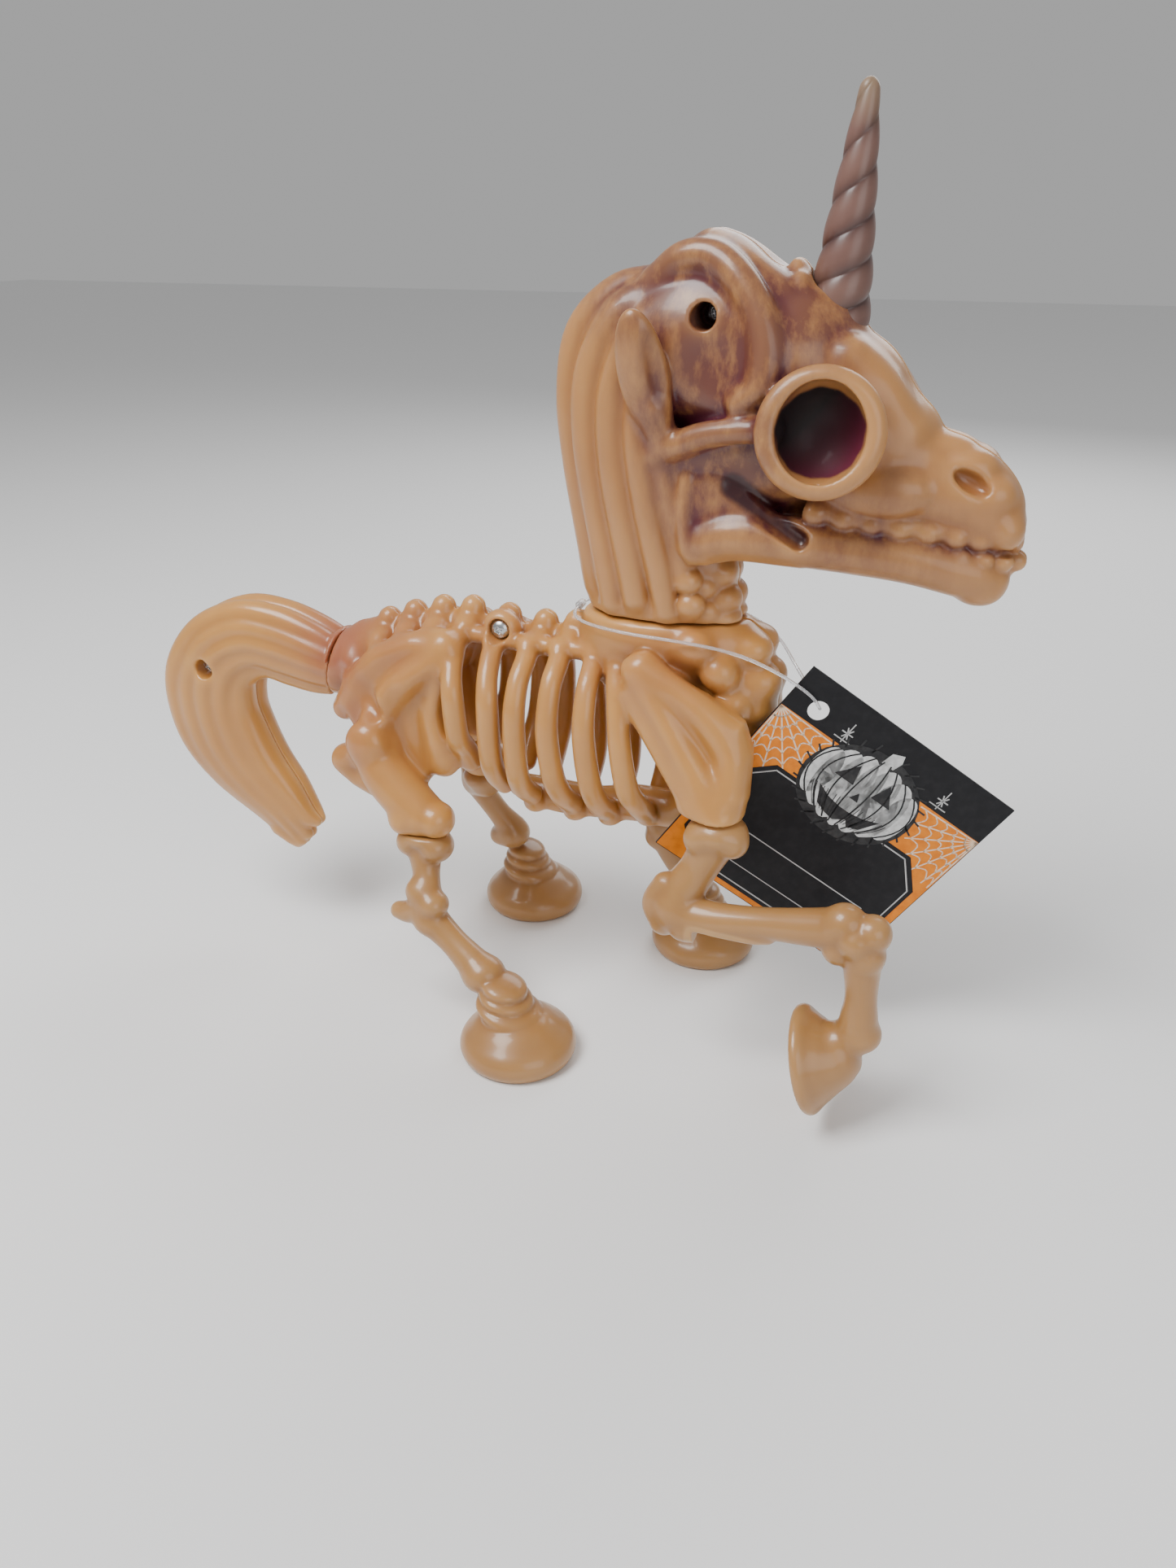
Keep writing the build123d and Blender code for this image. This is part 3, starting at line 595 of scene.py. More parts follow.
# %% Trunk halves
trunk_top, head_bottom = 115.35, 115.85   # the turning faces of the neck
hind_seat, fore_seat = 53.0, 72.0         # levels at which the lower legs are plugged in
trunk_clay.cut(slab(2, trunk_top, 1), 0.4)


def level_cut(x_from, x_to, y_from, y_to, level):
    """Box under a level, for the seat of a leg."""
    def measure(x, y, z):
        dx = np.maximum(x_from - x, x - x_to)
        dy = np.maximum(y_from - y, y - y_to)
        return np.maximum(np.maximum(dx, dy), z - level)

    return measure, np.array([x_from, y_from, level - 14]), np.array([x_to, y_to, level])


trunk_clay.cut(level_cut(-36, -8, -32, -8, hind_seat), 0.2)
trunk_clay.cut(level_cut(43, 74.5, -34, -12.6, fore_seat), 0.2)
trunk_clay.cut(past_tail_face(0.0, -1), 0.3)
trunk_left_clay = trunk_clay.copy()
trunk_clay.add(ball((-4.5, -4.6, 107.5), (5.0, 3.8, 4.9)), 1.0)
trunk_clay.cut(bar((-4.5, -6.9, 107.5), (-4.5, -14, 107.7), 2.9, 3.9), 0.7)


def trunk_blush(x, y, z):
    """The tail root's tint, with a fainter one on the rump's edge, the spine and the neck's root."""
    tint = root_blush(x, y, z)
    for px, pz, reach, strength in ((-46, 80, 9, 0.35), (-33, 104, 9, 0.30), (-6, 108, 8, 0.22),
                                    (42, 108, 9, 0.30), (22, 104, 6, 0.25)):
        tint = np.maximum(tint, spot(x - px, z - pz, reach, strength))
    return tint


trunk_right, trunk_left = both_halves(("trunk_right_bones", "trunk_left_bones"), trunk_clay,
                                      trunk_left_clay, {"blush": trunk_blush})

# %% [markdown]
# ## Legs
# Each lower leg is a chain of bones that narrow in the shaft and swell at the joints. The
# swellings are small stretched balls rather than one ball, because a real knee has two
# condyles. The hooves are low domes, cut flat for the standing face, with three rings above.

# %% Leg helpers
seat_gap = 0.1   # between a leg and its seat


def pastern(clay, centre, radius, tilt=None):
    """Three soft rings of the pastern, one above the other."""
    x, y, z = centre
    clay.add(ball((x, y, z - 1.6), (1.12 * radius, 1.12 * radius, 2.7), tilt), 0.8)
    clay.add(ball((x - 0.4, y + 0.3, z + 1.4), (0.96 * radius, 0.96 * radius, 2.5), tilt), 0.8)
    clay.add(ball((x - 0.9, y + 0.6, z + 4.2), (0.82 * radius, 0.82 * radius, 2.4), tilt), 0.8)


def standing_hoof(clay, x, y):
    """Low dome with its widest line just above the floor."""
    clay.add(ball((x, y, 3.4), (15.6, 15.4, 8.0)), 0)
    clay.add(ball((x - 0.6, y, 7.6), (10.4, 10.2, 5.6)), 3.0)
    clay.cut(slab(2, 0.0, -1), 0.5)

# %% Hind leg, right
hind_right_clay = Clay((-33, -53, -0.6), (27.5, -12, 54))
bones(hind_right_clay, [
    [(-22.4, -21, 47, 4.6), (-20.8, -24, 41.5, 3.7), (-19.6, -27.2, 37, 4.3)],
    [(-19.4, -28, 33.5, 4.4), (-24.6, -28, 31.4, 3.2), (-27.6, -28, 31.2, 2.5)],
    [(-18.6, -28.4, 31.5, 4.6), (-10.5, -30.4, 26.3, 3.8), (-3.4, -32.2, 21.4, 4.6)]])
lumps(hind_right_clay, [
    ((-26, -20.6, 49.6), (4.4, 5.2, 4.2)), ((-18.8, -21, 49.2), (4.7, 5.4, 4.4)),
    ((-22.4, -20.4, 51.5), (6.4, 5.8, 3.2)), ((-21.4, -26.4, 37.8), (4.2, 4.6, 4.0)),
    ((-16.8, -28.6, 35.6), (4.2, 4.4, 3.8)), ((-17.4, -29.6, 30.4), (4.4, 4, 3.6)),
    ((-0.6, -33, 19.8), (6.0, 5.8, 5.2)), ((-3.8, -31.2, 19.2), (4.0, 4.4, 3.8))])
pastern(hind_right_clay, (7.2, -35.6, 14.4), 7.6, [("Y", 12)])
standing_hoof(hind_right_clay, 10.5, -36.5)
hind_right_clay.cut(slab(2, hind_seat - seat_gap, 1), 0.4)
hind_right = skin("hind_right_bones", hind_right_clay)

# %% Hind leg, left
hind_left_clay = Clay((-37, 12, -0.6), (2, 53, 54))
bones(hind_left_clay, [
    [(-23.5, 21.5, 49, 5.2), (-28.4, 26, 46, 4.6), (-28, 28, 42, 3.8), (-24, 31, 33.5, 3.6),
     (-21, 33, 28, 4.4)],
    [(-29, 26.5, 47, 4.4), (-31.4, 26.6, 50, 2.6)]])
lumps(hind_left_clay, [
    ((-24, 21, 50.5), (6.2, 6, 3.8)), ((-27.6, 26, 46.4), (5.2, 5, 4.6)), ((-20.6, 33.2, 25.8),
                                                                           (5.8, 5.6, 5)),
    ((-24, 32.6, 24.8), (3.6, 4, 3.4))])
pastern(hind_left_clay, (-16.2, 35.8, 14.6), 7.4, [("Y", 10)])
standing_hoof(hind_left_clay, -14.7, 36.5)
hind_left_clay.cut(slab(2, hind_seat - seat_gap, 1), 0.4)
hind_left = skin("hind_left_bones", hind_left_clay)

# %% Foreleg, right: raised
fore_right_clay = Clay((39, -53, 1.5), (105, -11.5, 73))
bones(fore_right_clay, [
    [(57.6, -21.6, 65, 5.6), (54.6, -22.6, 58, 4.8), (51, -24.2, 51.5, 5.4)],
    [(46.6, -24.6, 52.6, 3.2), (44.6, -25, 47.2, 3.6), (47, -25.4, 42.8, 4.0)],
    [(50, -25.6, 46, 5.4), (60, -27.4, 46.8, 4.5), (72, -29.4, 49.6, 3.9), (83, -31.4, 52.2, 4.5),
     (90, -32.6, 54, 5.0)],
    [(52, -27.6, 42.6, 3.0), (62, -28.8, 43.8, 2.6), (74, -30.4, 47, 2.2)],
    [(97.2, -34, 47, 4.5), (97.9, -34.4, 38, 3.8), (98, -34.6, 31, 4.6)]])
lumps(fore_right_clay, [
    ((58.6, -21.4, 68), (7.4, 6.8, 4.8)), ((62.4, -22.6, 66.4), (4.2, 4.4, 4)), ((54.6, -23.4, 66.6),
                                                                                 (4, 4.4, 4)),
    ((50, -25.2, 47.4), (6.4, 6, 6.4)), ((53.4, -26.6, 43.6), (4.6, 4.4, 4.4)),
    ((92.2, -33, 56), (5.2, 5, 4.9)), ((98.6, -33.6, 55), (4.6, 4.6, 4.6)), ((91.6, -33.6, 49.6),
                                                                             (4.2, 4.2, 4.2)),
    ((97.6, -34.4, 49.6), (4.9, 4.6, 4.6)), ((95.2, -36, 53), (4.0, 3.6, 4)),
    ((98.2, -34.6, 27.6), (5.6, 5.2, 4.8)), ((95, -35, 25.6), (4.4, 4.6, 4))])
raised_axis = Vector((0.96, 0, 0.28))
sole = Vector((85.9, -36, 17.5))
hoof_tilt = [("Y", 73.7)]


def raised_place(along):
    """Point on the raised hoof's axis, a distance ahead of its sole."""
    return tuple(sole + along * raised_axis)


fore_right_clay.add(ball(raised_place(1.4), (13.6, 13.0, 4.6), hoof_tilt), 0)
fore_right_clay.add(ball(raised_place(4.0), (10.2, 10.0, 6.6), hoof_tilt), 3.0)
fore_right_clay.add(ball(raised_place(8.0), (6.8, 6.8, 6.2), hoof_tilt), 3.0)
fore_right_clay.add(ball((95.4, -35.4, 22.6), (6.2, 6.2, 2.6), [("Y", 48)]), 0.9)
fore_right_clay.add(ball((93.4, -35.7, 20.6), (6.8, 6.8, 2.6), [("Y", 62)]), 0.9)


def behind_sole(x, y, z):
    """Distance to everything behind the raised sole."""
    along = (x - sole.x) * raised_axis.x + (z - sole.z) * raised_axis.z
    return np.broadcast_to(along, np.broadcast(x, y, z).shape)


fore_right_clay.cut((behind_sole, np.array([60, -60, -5.0]), np.array([92, -10, 40.0])), 0.6)
fore_right_clay.cut(slab(2, fore_seat - seat_gap, 1), 0.4)
fore_right = skin("fore_right_bones", fore_right_clay)

# %% Foreleg, left
fore_left_clay = Clay((24, 12, -0.6), (69, 47, 73))
bones(fore_left_clay, [
    [(58, 21, 66, 5.8), (52, 22, 60, 4.8), (46, 23, 54.5, 5.2)],
    [(45, 23.2, 53, 5.0), (38, 23.6, 47, 4.2), (32.6, 24, 42, 4.8)],
    [(31.6, 24.4, 40, 4.4), (35, 26, 31.5, 3.8), (40, 27.8, 24.5, 4.6)]])
lumps(fore_left_clay, [
    ((58.6, 21, 68.4), (7.2, 6.6, 4.4)), ((46, 23, 55), (6.2, 5.6, 5.6)), ((31.8, 24, 43), (5.2, 5, 4.6)),
    ((30.8, 24.4, 38.6), (4.4, 4.4, 4.2)), ((40.6, 28, 23.2), (5.8, 5.4, 5))])
pastern(fore_left_clay, (43.2, 29.6, 14.6), 7.4)
standing_hoof(fore_left_clay, 43.9, 29.9)
fore_left_clay.cut(slab(2, fore_seat - seat_gap, 1), 0.4)
fore_left = skin("fore_left_bones", fore_left_clay)

# %% [markdown]
# ## Head
# The head carries most of the character: a high crown, a pit at the temple, a leaf-shaped
# ear, a thick smooth ring round a deep eye bowl, a cheek bar, a long muzzle with two rows
# of small teeth, and a mane of long locks that falls to the collar. It is sculpted from
# large lumps to small ones, and the hollows are cut before the small bumps go on, so that
# the bumps stay crisp.

# %% Skull
head_clay = Clay((8, -29.5, 114), (120.5, 0.6, 203))
lumps(head_clay, [
    ((47, 0, 177), (24, 17, 19)), ((47.5, 0, 188), (12, 11, 12)), ((61, 0, 172), (20.5, 17.5, 20.5)),
    ((75, 0, 164), (16.6, 16.5, 18)), ((84, 0, 157), (15, 13, 14)), ((95, 0, 150), (17, 11, 10.8)),
    ((104.5, 0, 148), (10.5, 9.6, 9.4)), ((109.6, 0, 144.6), (7.4, 8.2, 8.0)), ((60, 0, 157),
                                                                                (22, 14.5, 16)),
    ((33, 0, 178), (17, 12, 14))], 3.0)
press(head_clay, [(71, 0, 181, 8), (66, 0, 184, 7)], 2.5)
head_clay.weigh("skull")

# %% Neck core and jaw
lumps(head_clay, [
    ((29, 0, 128), (12.5, 10.5, 17)), ((28, 0, 146), (14, 10.5, 18)), ((29, 0, 164), (16, 11.5, 17)),
    ((42, 0, 126), (13.5, 10, 15)), ((42, 0, 144), (11, 9, 16))], 3.0)
jaw = [(50, -11.8, 136.4, 5.0), (57, -12.2, 138.4, 5.4), (68, -11.6, 138.0, 5.4), (82, -9.8, 136.8, 5.3),
       (95, -7.6, 135.2, 5.3), (106, -4.8, 132.6, 5.4), (111, -1.8, 130.8, 5.0)]
press(head_clay, jaw, 1.5)
press(head_clay, [(66, -3, 138.6, 4.6), (90, -2, 136.6, 4.8), (108, 0, 131.8, 5.4)], 3.0)
ramus = [(46, 130.8), (44, 143), (44.2, 150), (50, 153), (57, 150), (66, 143), (73, 139.5), (72, 133),
         (58, 133.4)]
head_clay.add(plate(ramus, -8.2, -14.6, 2.2), 1.6)
press(head_clay, [(50, -13.2, 133.4, 2.0), (46.6, -13.4, 134.4, 2.3), (45.2, -13.4, 143, 2.2),
                  (45.4, -13.2, 150, 2.2)], 1.0)
head_clay.weigh("head with neck and jaw")

# %% Eye ring and cheek
eye = np.array([74.8, -19.0, 162.6])
eye_axis = np.array([0.16, -0.97, 0.17])
eye_axis = eye_axis / np.linalg.norm(eye_axis)
eye_across = np.cross(eye_axis, (0, 0, 1.0))
eye_across = eye_across / np.linalg.norm(eye_across)
eye_rise = np.cross(eye_across, eye_axis)


def round_eye(radius, out, angle):
    """Point on a circle round the eye's axis, a distance out along the axis."""
    around = math.cos(angle) * eye_across + math.sin(angle) * eye_rise
    return tuple(eye + radius * around + out * eye_axis)


head_clay.add(bar(tuple(eye - 11 * eye_axis), tuple(eye - 9 * eye_axis), 13.2, 12.0), 3.0)
head_clay.add(bar(tuple(eye - 9 * eye_axis), tuple(eye - 8.4 * eye_axis), 12.2, 11.6), 2.2)
head_clay.cut(ball((50.5, -21.6, 174.5), (9.6, 6.6, 12.0), [("Y", 8)]), 3.0)
ring = [(*round_eye(10.9, 1.4, a), 2.6) for a in np.linspace(0, 2 * math.pi, 25)]
press(head_clay, ring, 2.0, 2)
head_clay.cut(ball(tuple(eye + 1.2 * eye_axis), (9.2, 9.2, 10.6)), 0.8)
bones(head_clay, [
    [(64, -18.4, 162.5, 2.8), (57, -17.6, 161.8, 2.7), (50, -16.2, 160.4, 2.9), (44, -15, 158, 3.1),
     (38.5, -13.6, 155.4, 3.0)],
    [(64, -11.8, 157.6, 3.0), (54, -11.0, 156.6, 4.4), (44, -10.4, 154.4, 4.6)]], 2.0)
bones(head_clay, [
    [(35.5, -6.8, 190.6, 3.2), (41.6, -8.8, 194.8, 3.4), (48.4, -10, 195.2, 3.6), (54.6, -12.4, 191.4, 3.5),
     (59.6, -14.4, 185, 3.3), (62, -16.0, 177.6, 3.0), (61, -16.8, 171, 2.6), (56.8, -16.6, 167.4, 2.2)],
    [(46.5, -3.4, 195.8, 4.4), (53.5, -5.0, 193.0, 4.2), (61, -6.5, 188.5, 3.6)],
    [(78, -8.5, 176, 4.5), (85, -8, 169.5, 4.5), (90, -6.0, 163, 4.0)]], 2.8)
head_clay.weigh("head with eye rings")

# %% Muzzle, lips and teeth
lumps(head_clay, [
    ((86, -9.6, 150), (12, 5.6, 6.4)), ((103.8, -3.6, 155.2), (6.2, 4.2, 4.0)), ((110, -4.6, 149.6),
                                                                                 (4.4, 3.8, 3.8)),
    ((113.4, -3.4, 142.2), (4.2, 4.6, 4.6)), ((109.6, -2.6, 128.6), (4.8, 4.6, 3.4)), ((98, -2, 158.4),
                                                                                       (7, 4, 3.2))],
      1.6)
head_clay.cut(ball((105.4, -8.0, 152.6), (4.0, 2.2, 1.9), [("Y", 28)]), 1.6)
gum = [(74, -13.2), (80, -12.8), (86, -12.0), (92, -11.0), (98, -9.8), (103.6, -8.6), (108.4, -7.0),
       (112.4, -5.0), (115, -2.2)]


def tooth_line(x):
    """Height at which the two rows of teeth meet."""
    return 142.4 - (x - 74.3) * 5.2 / 42.8


press(head_clay, [(x, y + 2.0, tooth_line(x) + 2.6, 2.6) for x, y in gum], 1.2)
press(head_clay, [(x, y + 2.4, tooth_line(x) - 3.0, 2.6) for x, y in gum], 1.2)
for x, y in gum:
    line_z = tooth_line(x)
    head_clay.add(ball((x, y + 0.8, line_z + 1.9), (2.7, 2.1, 2.5)), 0.5)
    head_clay.add(ball((x + 1.4, y + 1.1, line_z - 2.3), (2.5, 2.0, 2.2)), 0.5)
head_clay.cut(together(strand([(x, y - 1.9, tooth_line(x), 0.9) for x, y in gum])), 0.6)
head_clay.cut(bar((56, -16.8, 149.6), (71.5, -15.6, 139.4), 3.1, 2.2), 1.0)
print("teeth a row:", len(gum))

# %% Ear
lean = [("X", 16), ("Y", -8)]
head_clay.add(ball((36.2, -18.2, 172.6), (5.6, 3.5, 13.8), lean), 1.6)
head_clay.cut(ball((41.4, -21.6, 174.0), (3.4, 2.6, 10.4), lean), 2.0)
press(head_clay, [(39.5, -14.0, 159, 3.4), (38.2, -16.0, 165, 3.6)], 2.0)
head_clay.weigh("head with ears")

# %% Mane
mane_locks = [
    [(36, -1.8, 189.4, 3.8), (26, -2.2, 187.4, 4.4), (17.4, -2.4, 179, 4.6), (15.2, -2.6, 165.6, 4.6),
     (16.4, -2.8, 151, 4.4), (19, -3, 136, 4.2), (21.2, -3.2, 121.6, 3.6)],
    [(37, -5.8, 187.8, 3.6), (28, -7.2, 183.6, 4.2), (21.6, -7.8, 172, 4.4), (20.8, -8, 158, 4.4),
     (23.2, -8.2, 142, 4.2), (26.2, -8.6, 126, 3.8), (27, -8.8, 119.2, 3.2)],
    [(37.4, -9.4, 184, 3.2), (31.2, -11, 177.6, 3.8), (27.6, -11.4, 166, 4.0), (28, -11.4, 152, 4.0),
     (30.6, -11.2, 137, 3.8), (33.4, -11, 121, 3.2)],
    [(33.4, -13, 168, 3.0), (33.8, -13.2, 157, 3.4), (36, -12.6, 143, 3.4), (39, -11.6, 129, 3.2),
     (41, -11, 118.6, 2.8)],
    [(39, -13.2, 158, 2.6), (40.4, -12.4, 148, 2.8), (43.2, -11, 136, 2.6), (44.6, -10.4, 127, 2.2)]]
bones(head_clay, mane_locks, 1.6)
neck_knobs = [((51.4, -2.6, 127.0), (4.4, 4.6, 3.8)), ((52.6, -2.8, 120.8), (4.6, 4.8, 4.0)),
              ((53.0, -3, 116.0), (4.4, 5.0, 3.4)), ((44.6, -9.2, 131.6), (3.4, 3.4, 3.2)),
              ((45.4, -10.0, 126.0), (3.4, 3.2, 3.2)), ((46.4, -10.2, 120.4), (3.6, 3.2, 3.3)),
              ((48.4, -6.4, 124.0), (3.4, 3.4, 3.2)), ((49.4, -6.6, 118.2), (3.6, 3.4, 3.2))]
lumps(head_clay, neck_knobs, 0.8)
print("mane locks a side:", len(mane_locks))

# %% Horn seat
head_clay.add(ball((66.4, -4.8, 187.8), (2.4, 3.4, 5.0), [("Y", -8)]), 1.4)
head_clay.add(ball((65.4, -0.8, 190.6), (2.6, 3.6, 4.6), [("Y", -20)]), 1.6)
horn_base = Vector((73.5, 0, 185.5))
horn_axis = Vector((0.058, 0, 1)).normalized()
head_clay.cut(bar(tuple(horn_base + 5.9 * horn_axis), tuple(horn_base + 25 * horn_axis), 6.6, 6.6), 0.3)
head_clay.weigh("head with the horn's seat")

# %% Head paint rules and halves
wash_spots = [(54, 172, 11, 1.0), (50, 194, 8, 0.8), (38, 190, 7, 0.9), (60, 160, 6, 1.0),
              (50, 153, 8, 0.9), (64, 144, 5, 0.9), (48, 141, 6, 0.6), (65, 185, 6, 0.7), (74, 184, 6, 0.7),
              (27, 188, 7, 0.6), (91, 153, 5, 0.2), (80, 141, 8, 0.55), (98, 138, 9, 0.35),
              (42, 165, 7, 0.6), (60, 180, 6, 0.7)]


def wash_rule(x, y, z):
    """How much of the purple-brown wash was left, from spots of (x, z, reach, strength)."""
    clean = np.ones(len(x))
    for sx, sz, reach, strength in wash_spots:
        clean *= 1 - spot(x - sx, z - sz, reach, strength)
    lips = np.exp(-((z - tooth_line(x)) / 1.3) ** 2) * np.clip((x - 70) / 4, 0, 1)
    return 1 - clean * (1 - 0.45 * lips)


def bowl_rule(x, y, z):
    """1 inside the painted eye bowl and 0 outside, with a narrow edge."""
    gap = np.stack([x - eye[0], y - eye[1], z - eye[2]], axis=1)
    out = gap @ eye_axis
    away = np.linalg.norm(gap - out[:, None] * eye_axis, axis=1)
    angle = np.arctan2(gap @ eye_rise, gap @ eye_across)
    ragged = 0.10 * np.sin(5 * angle) + 0.08 * np.sin(13 * angle + 1.3)
    return np.clip((9.35 + ragged - away) / 0.4, 0, 1) * (out < 3.6) * (out > -12)


def bowl_light_rule(x, y, z):
    """Painted light in the eye bowl, from 0 in the painted shade at its upper back to 1 in the red painted
    light towards its lower front.
    """
    gap = np.stack([x - eye[0], y - eye[1], z - eye[2]], axis=1)
    return np.clip(0.5 + (0.75 * (x - eye[0]) - 0.65 * (gap @ eye_rise)) / 18, 0, 1)


def slot_rule(x, y, z):
    """1 in the dark slot behind the teeth."""
    t = np.clip(((x - 56) * 15.5 + (z - 149.6) * -10.2) / (15.5 ** 2 + 10.2 ** 2), 0, 1)
    away = np.hypot(x - 56 - 15.5 * t, z - 149.6 + 10.2 * t)
    return np.clip((3.4 - 1.0 * t - away) / 1.3, 0, 1) * (y < -9)


head_clay.add(ball((37, 0, 117.4), (18.6, 11.9, 6.5)), 2.4)
head_paint = {"wash": wash_rule, "bowl": bowl_rule, "bowl_painted_light": bowl_light_rule, "slot": slot_rule}
head_clay.cut(slab(2, head_bottom, -1), 0.4)
head_left_clay = head_clay.copy()
head_clay.cut(screw_well(48, 184, -6.0), 0.6)
head_right, head_left = both_halves(("head_right_shell", "head_left_shell"), head_clay, head_left_clay,
                                    head_paint)

# %% [markdown]
# ## Horn
# The horn is one cone with a wide rope twist: two ridges wind up to the tip. It is made
# from rings of vertices whose radius rises and falls with the angle, so that the grooves
# are real shape and not only a bump in the paint.

# %% Horn
def horn_ridge(share, angle):
    """1 on the two winding ridges and 0 in the grooves, at a share of the horn's height."""
    phase = (5.7 * share ** 0.9 - angle / math.pi) % 1.0
    return abs(math.sin(math.pi * phase)) ** 0.6


def horn_radius(share, ridge):
    """Radius at a share of the horn's height, with the winding ridges."""
    flank = 7.05 * (1 - share) ** 0.84 + 1.6 * share
    cap = math.sqrt(max(0.0, 1 - max(0.0, (share - 0.955) / 0.045) ** 2))
    return flank * (0.865 + 0.135 * ridge) * cap


horn_rings, horn_sides, horn_length, horn_sunk = 220, 72, 42.0, 4.0
horn_end = 0.9995   # the last ring stops just under the tip, so that its face has a size
horn_points, horn_relief, horn_rise = [], [], []
side_x = Vector((1, 0, -0.058)).normalized()
side_y = horn_axis.cross(side_x)
for i in range(horn_rings):
    share = i / (horn_rings - 1) * horn_end
    for j in range(horn_sides):
        angle = 2 * math.pi * j / horn_sides
        horn_relief.append(horn_ridge(share, angle))
        horn_rise.append(i / (horn_rings - 1))
        r = horn_radius(share, horn_relief[-1])
        spot = (horn_base + horn_axis * (-horn_sunk + (horn_length + horn_sunk) * share)
                + side_x * (r * math.cos(angle)) + side_y * (r * math.sin(angle)))
        horn_points.append(tuple(spot * MM))
horn_faces = []
for i in range(horn_rings - 1):
    for j in range(horn_sides):
        k = (j + 1) % horn_sides
        horn_faces.append((i * horn_sides + j, i * horn_sides + k, (i + 1) * horn_sides + k,
                           (i + 1) * horn_sides + j))
horn_faces.append(tuple(reversed(range(horn_sides))))
horn_faces.append(tuple(range((horn_rings - 1) * horn_sides, horn_rings * horn_sides)))
horn_mesh = bpy.data.meshes.new("horn_twist")
horn_mesh.from_pydata(horn_points, [], horn_faces)
horn_mesh.polygons.foreach_set("use_smooth", np.ones(len(horn_mesh.polygons), dtype=bool))
store(horn_mesh, "relief", horn_relief)
store(horn_mesh, "rise", horn_rise)
horn = placed("horn_twist", horn_mesh)
print("horn faces:", len(horn_faces))

# %% [markdown]
# ## Screws
# One bright, zinc-plated pan-head screw shows in the spine. It sits a little deeper than
# the plastic round it, with its cross cut into a dome. The two other screws lie at the
# bottom of deep holes. All three are one shape: a dome on a short shank, its cross cut in.

# %% Screws
def pan_head(name, x, z, y_seat):
    """Domed cross-head screw along y, its head towards the right side."""
    clay = Clay((x - 3.4, y_seat - 2.8, z - 3.4),
                (x + 3.4, y_seat + 6.2, z + 3.4), 0.1)
    clay.add(ball((x, y_seat, z), (2.65, 1.95, 2.65)), 0)
    clay.cut(slab(1, y_seat, 1), 0)
    clay.add(bar((x, y_seat - 0.3, z), (x, y_seat + 4.4, z), 1.28, 1.28), 0)
    for dx, dz in ((1.25, 0.35), (-0.35, 1.25)):
        clay.cut(bar((x - dx, y_seat - 2.2, z - dz), (x + dx, y_seat - 2.2, z + dz), 0.42, 0.42), 0.1)
        clay.cut(bar((x - 0.5 * dx, y_seat - 1.6, z - 0.5 * dz), (x + 0.5 * dx, y_seat - 1.6, z + 0.5 * dz),
                     0.36, 0.36), 0.1)
    return skin(name, clay)


screw_grip = 4.0
spine_screw = pan_head("spine_screw", -4.5, 107.5, -screw_grip - 1.6)
skull_screw = pan_head("skull_screw", 48.0, 184.0, -screw_grip)
lock_screw = pan_head("lock_screw", -97.0, 85.5, -screw_grip)

# %% [markdown]
# ## Nylon loop
# The tag hangs on a strand of clear nylon, closed by a small melted lock behind the neck.
# It lies round the neck just under the head's turning face and dips in front to the tag's
# hole. A NURBS line through few points is smooth; its points repeat the CAD route.

# %% Loop
shoulder, saddle = 50.5, 106.0
loop_offsets = [(-35.2, -1.7, 8.5), (-35.2, -6.5, 8.2), (-30, -13, 8.1), (-18, -16.6, 7.9),
                (-4, -16.4, 7.4), (8.5, -14.2, 5.4), (18.5, -11.2, 0.6), (26.2, -9.1, -4.8),
                (28.2, -8.2, -8.4), (27.2, -5.4, -8.6), (24.6, -4, -5.2), (19.5, -0.5, 0.2), (14.5, 5.5, 4),
                (6, 12, 6.6), (-6, 15.8, 7.6), (-18, 16.6, 7.9), (-30, 13, 8.1), (-35.2, 6.5, 8.2),
                (-35.2, 1.7, 8.5)]
loop_diameter = 0.8
loop_curve = bpy.data.curves.new("nylon_strand", "CURVE")
loop_curve.dimensions = "3D"
strand_line = loop_curve.splines.new("NURBS")
strand_line.points.add(len(loop_offsets) - 1)
for point, (dx, dy, dz) in zip(strand_line.points, loop_offsets):
    point.co = ((shoulder + dx) * MM, dy * MM, (saddle + dz) * MM, 1)
strand_line.order_u = 3
strand_line.use_endpoint_u = True
loop_curve.resolution_u = 10
loop_curve.bevel_depth = 0.5 * loop_diameter * MM
loop_curve.bevel_resolution = 4
loop_curve.use_fill_caps = True
nylon = placed("nylon_strand", loop_curve)
print("loop route points:", len(loop_offsets))

# %% [markdown]
# The lock is where the two ends were melted into one bead. It is a small, slightly
# uneven capsule, and it replaces the plain CAD cylinder.

# %% Lock of the loop
lock_clay = Clay((12.8, -3.4, 112.2), (17.8, 3.4, 116.8), 0.08)
lock_clay.add(bar((15.3, -1.1, 114.5), (15.3, 1.1, 114.5), 1.05, 1.0), 0)
lock_clay.add(ball((15.5, 0.2, 114.9), (0.9, 1.2, 0.8)), 0.4)
loop_bead = skin("loop_bead", lock_clay)

# %% [markdown]
# ## Hang tag
# The card is black with an orange band of cobweb at two corners, a grey-white pumpkin and
# a thin eight-sided frame. Here the whole picture is drawn by the mesh: the card is a
# solid sheet, and each print is a thin face laid a hair above it. Print made of shapes
# stays sharp at any distance and needs no picture file.

# %% Card
tag_side, tag_thickness, hole_radius, hole_inset = 62.5, 0.5, 2.6, 8.2
tag_corner = Vector((shoulder + 25.7, -8.3, saddle + 2.4))
tag_out = Vector((0.222, -0.973, -0.07)).normalized()
tag_right = Vector((0.789, 0.222, -0.573))
tag_right = (tag_right - tag_right.dot(tag_out) * tag_out).normalized()
tag_down = -tag_out.cross(tag_right)


def on_card(u, v, lift):
    """Point u along the top edge and v down the card, lifted off its middle."""
    return tuple((tag_corner + float(u) * tag_right + float(v) * tag_down + lift * tag_out) * MM)


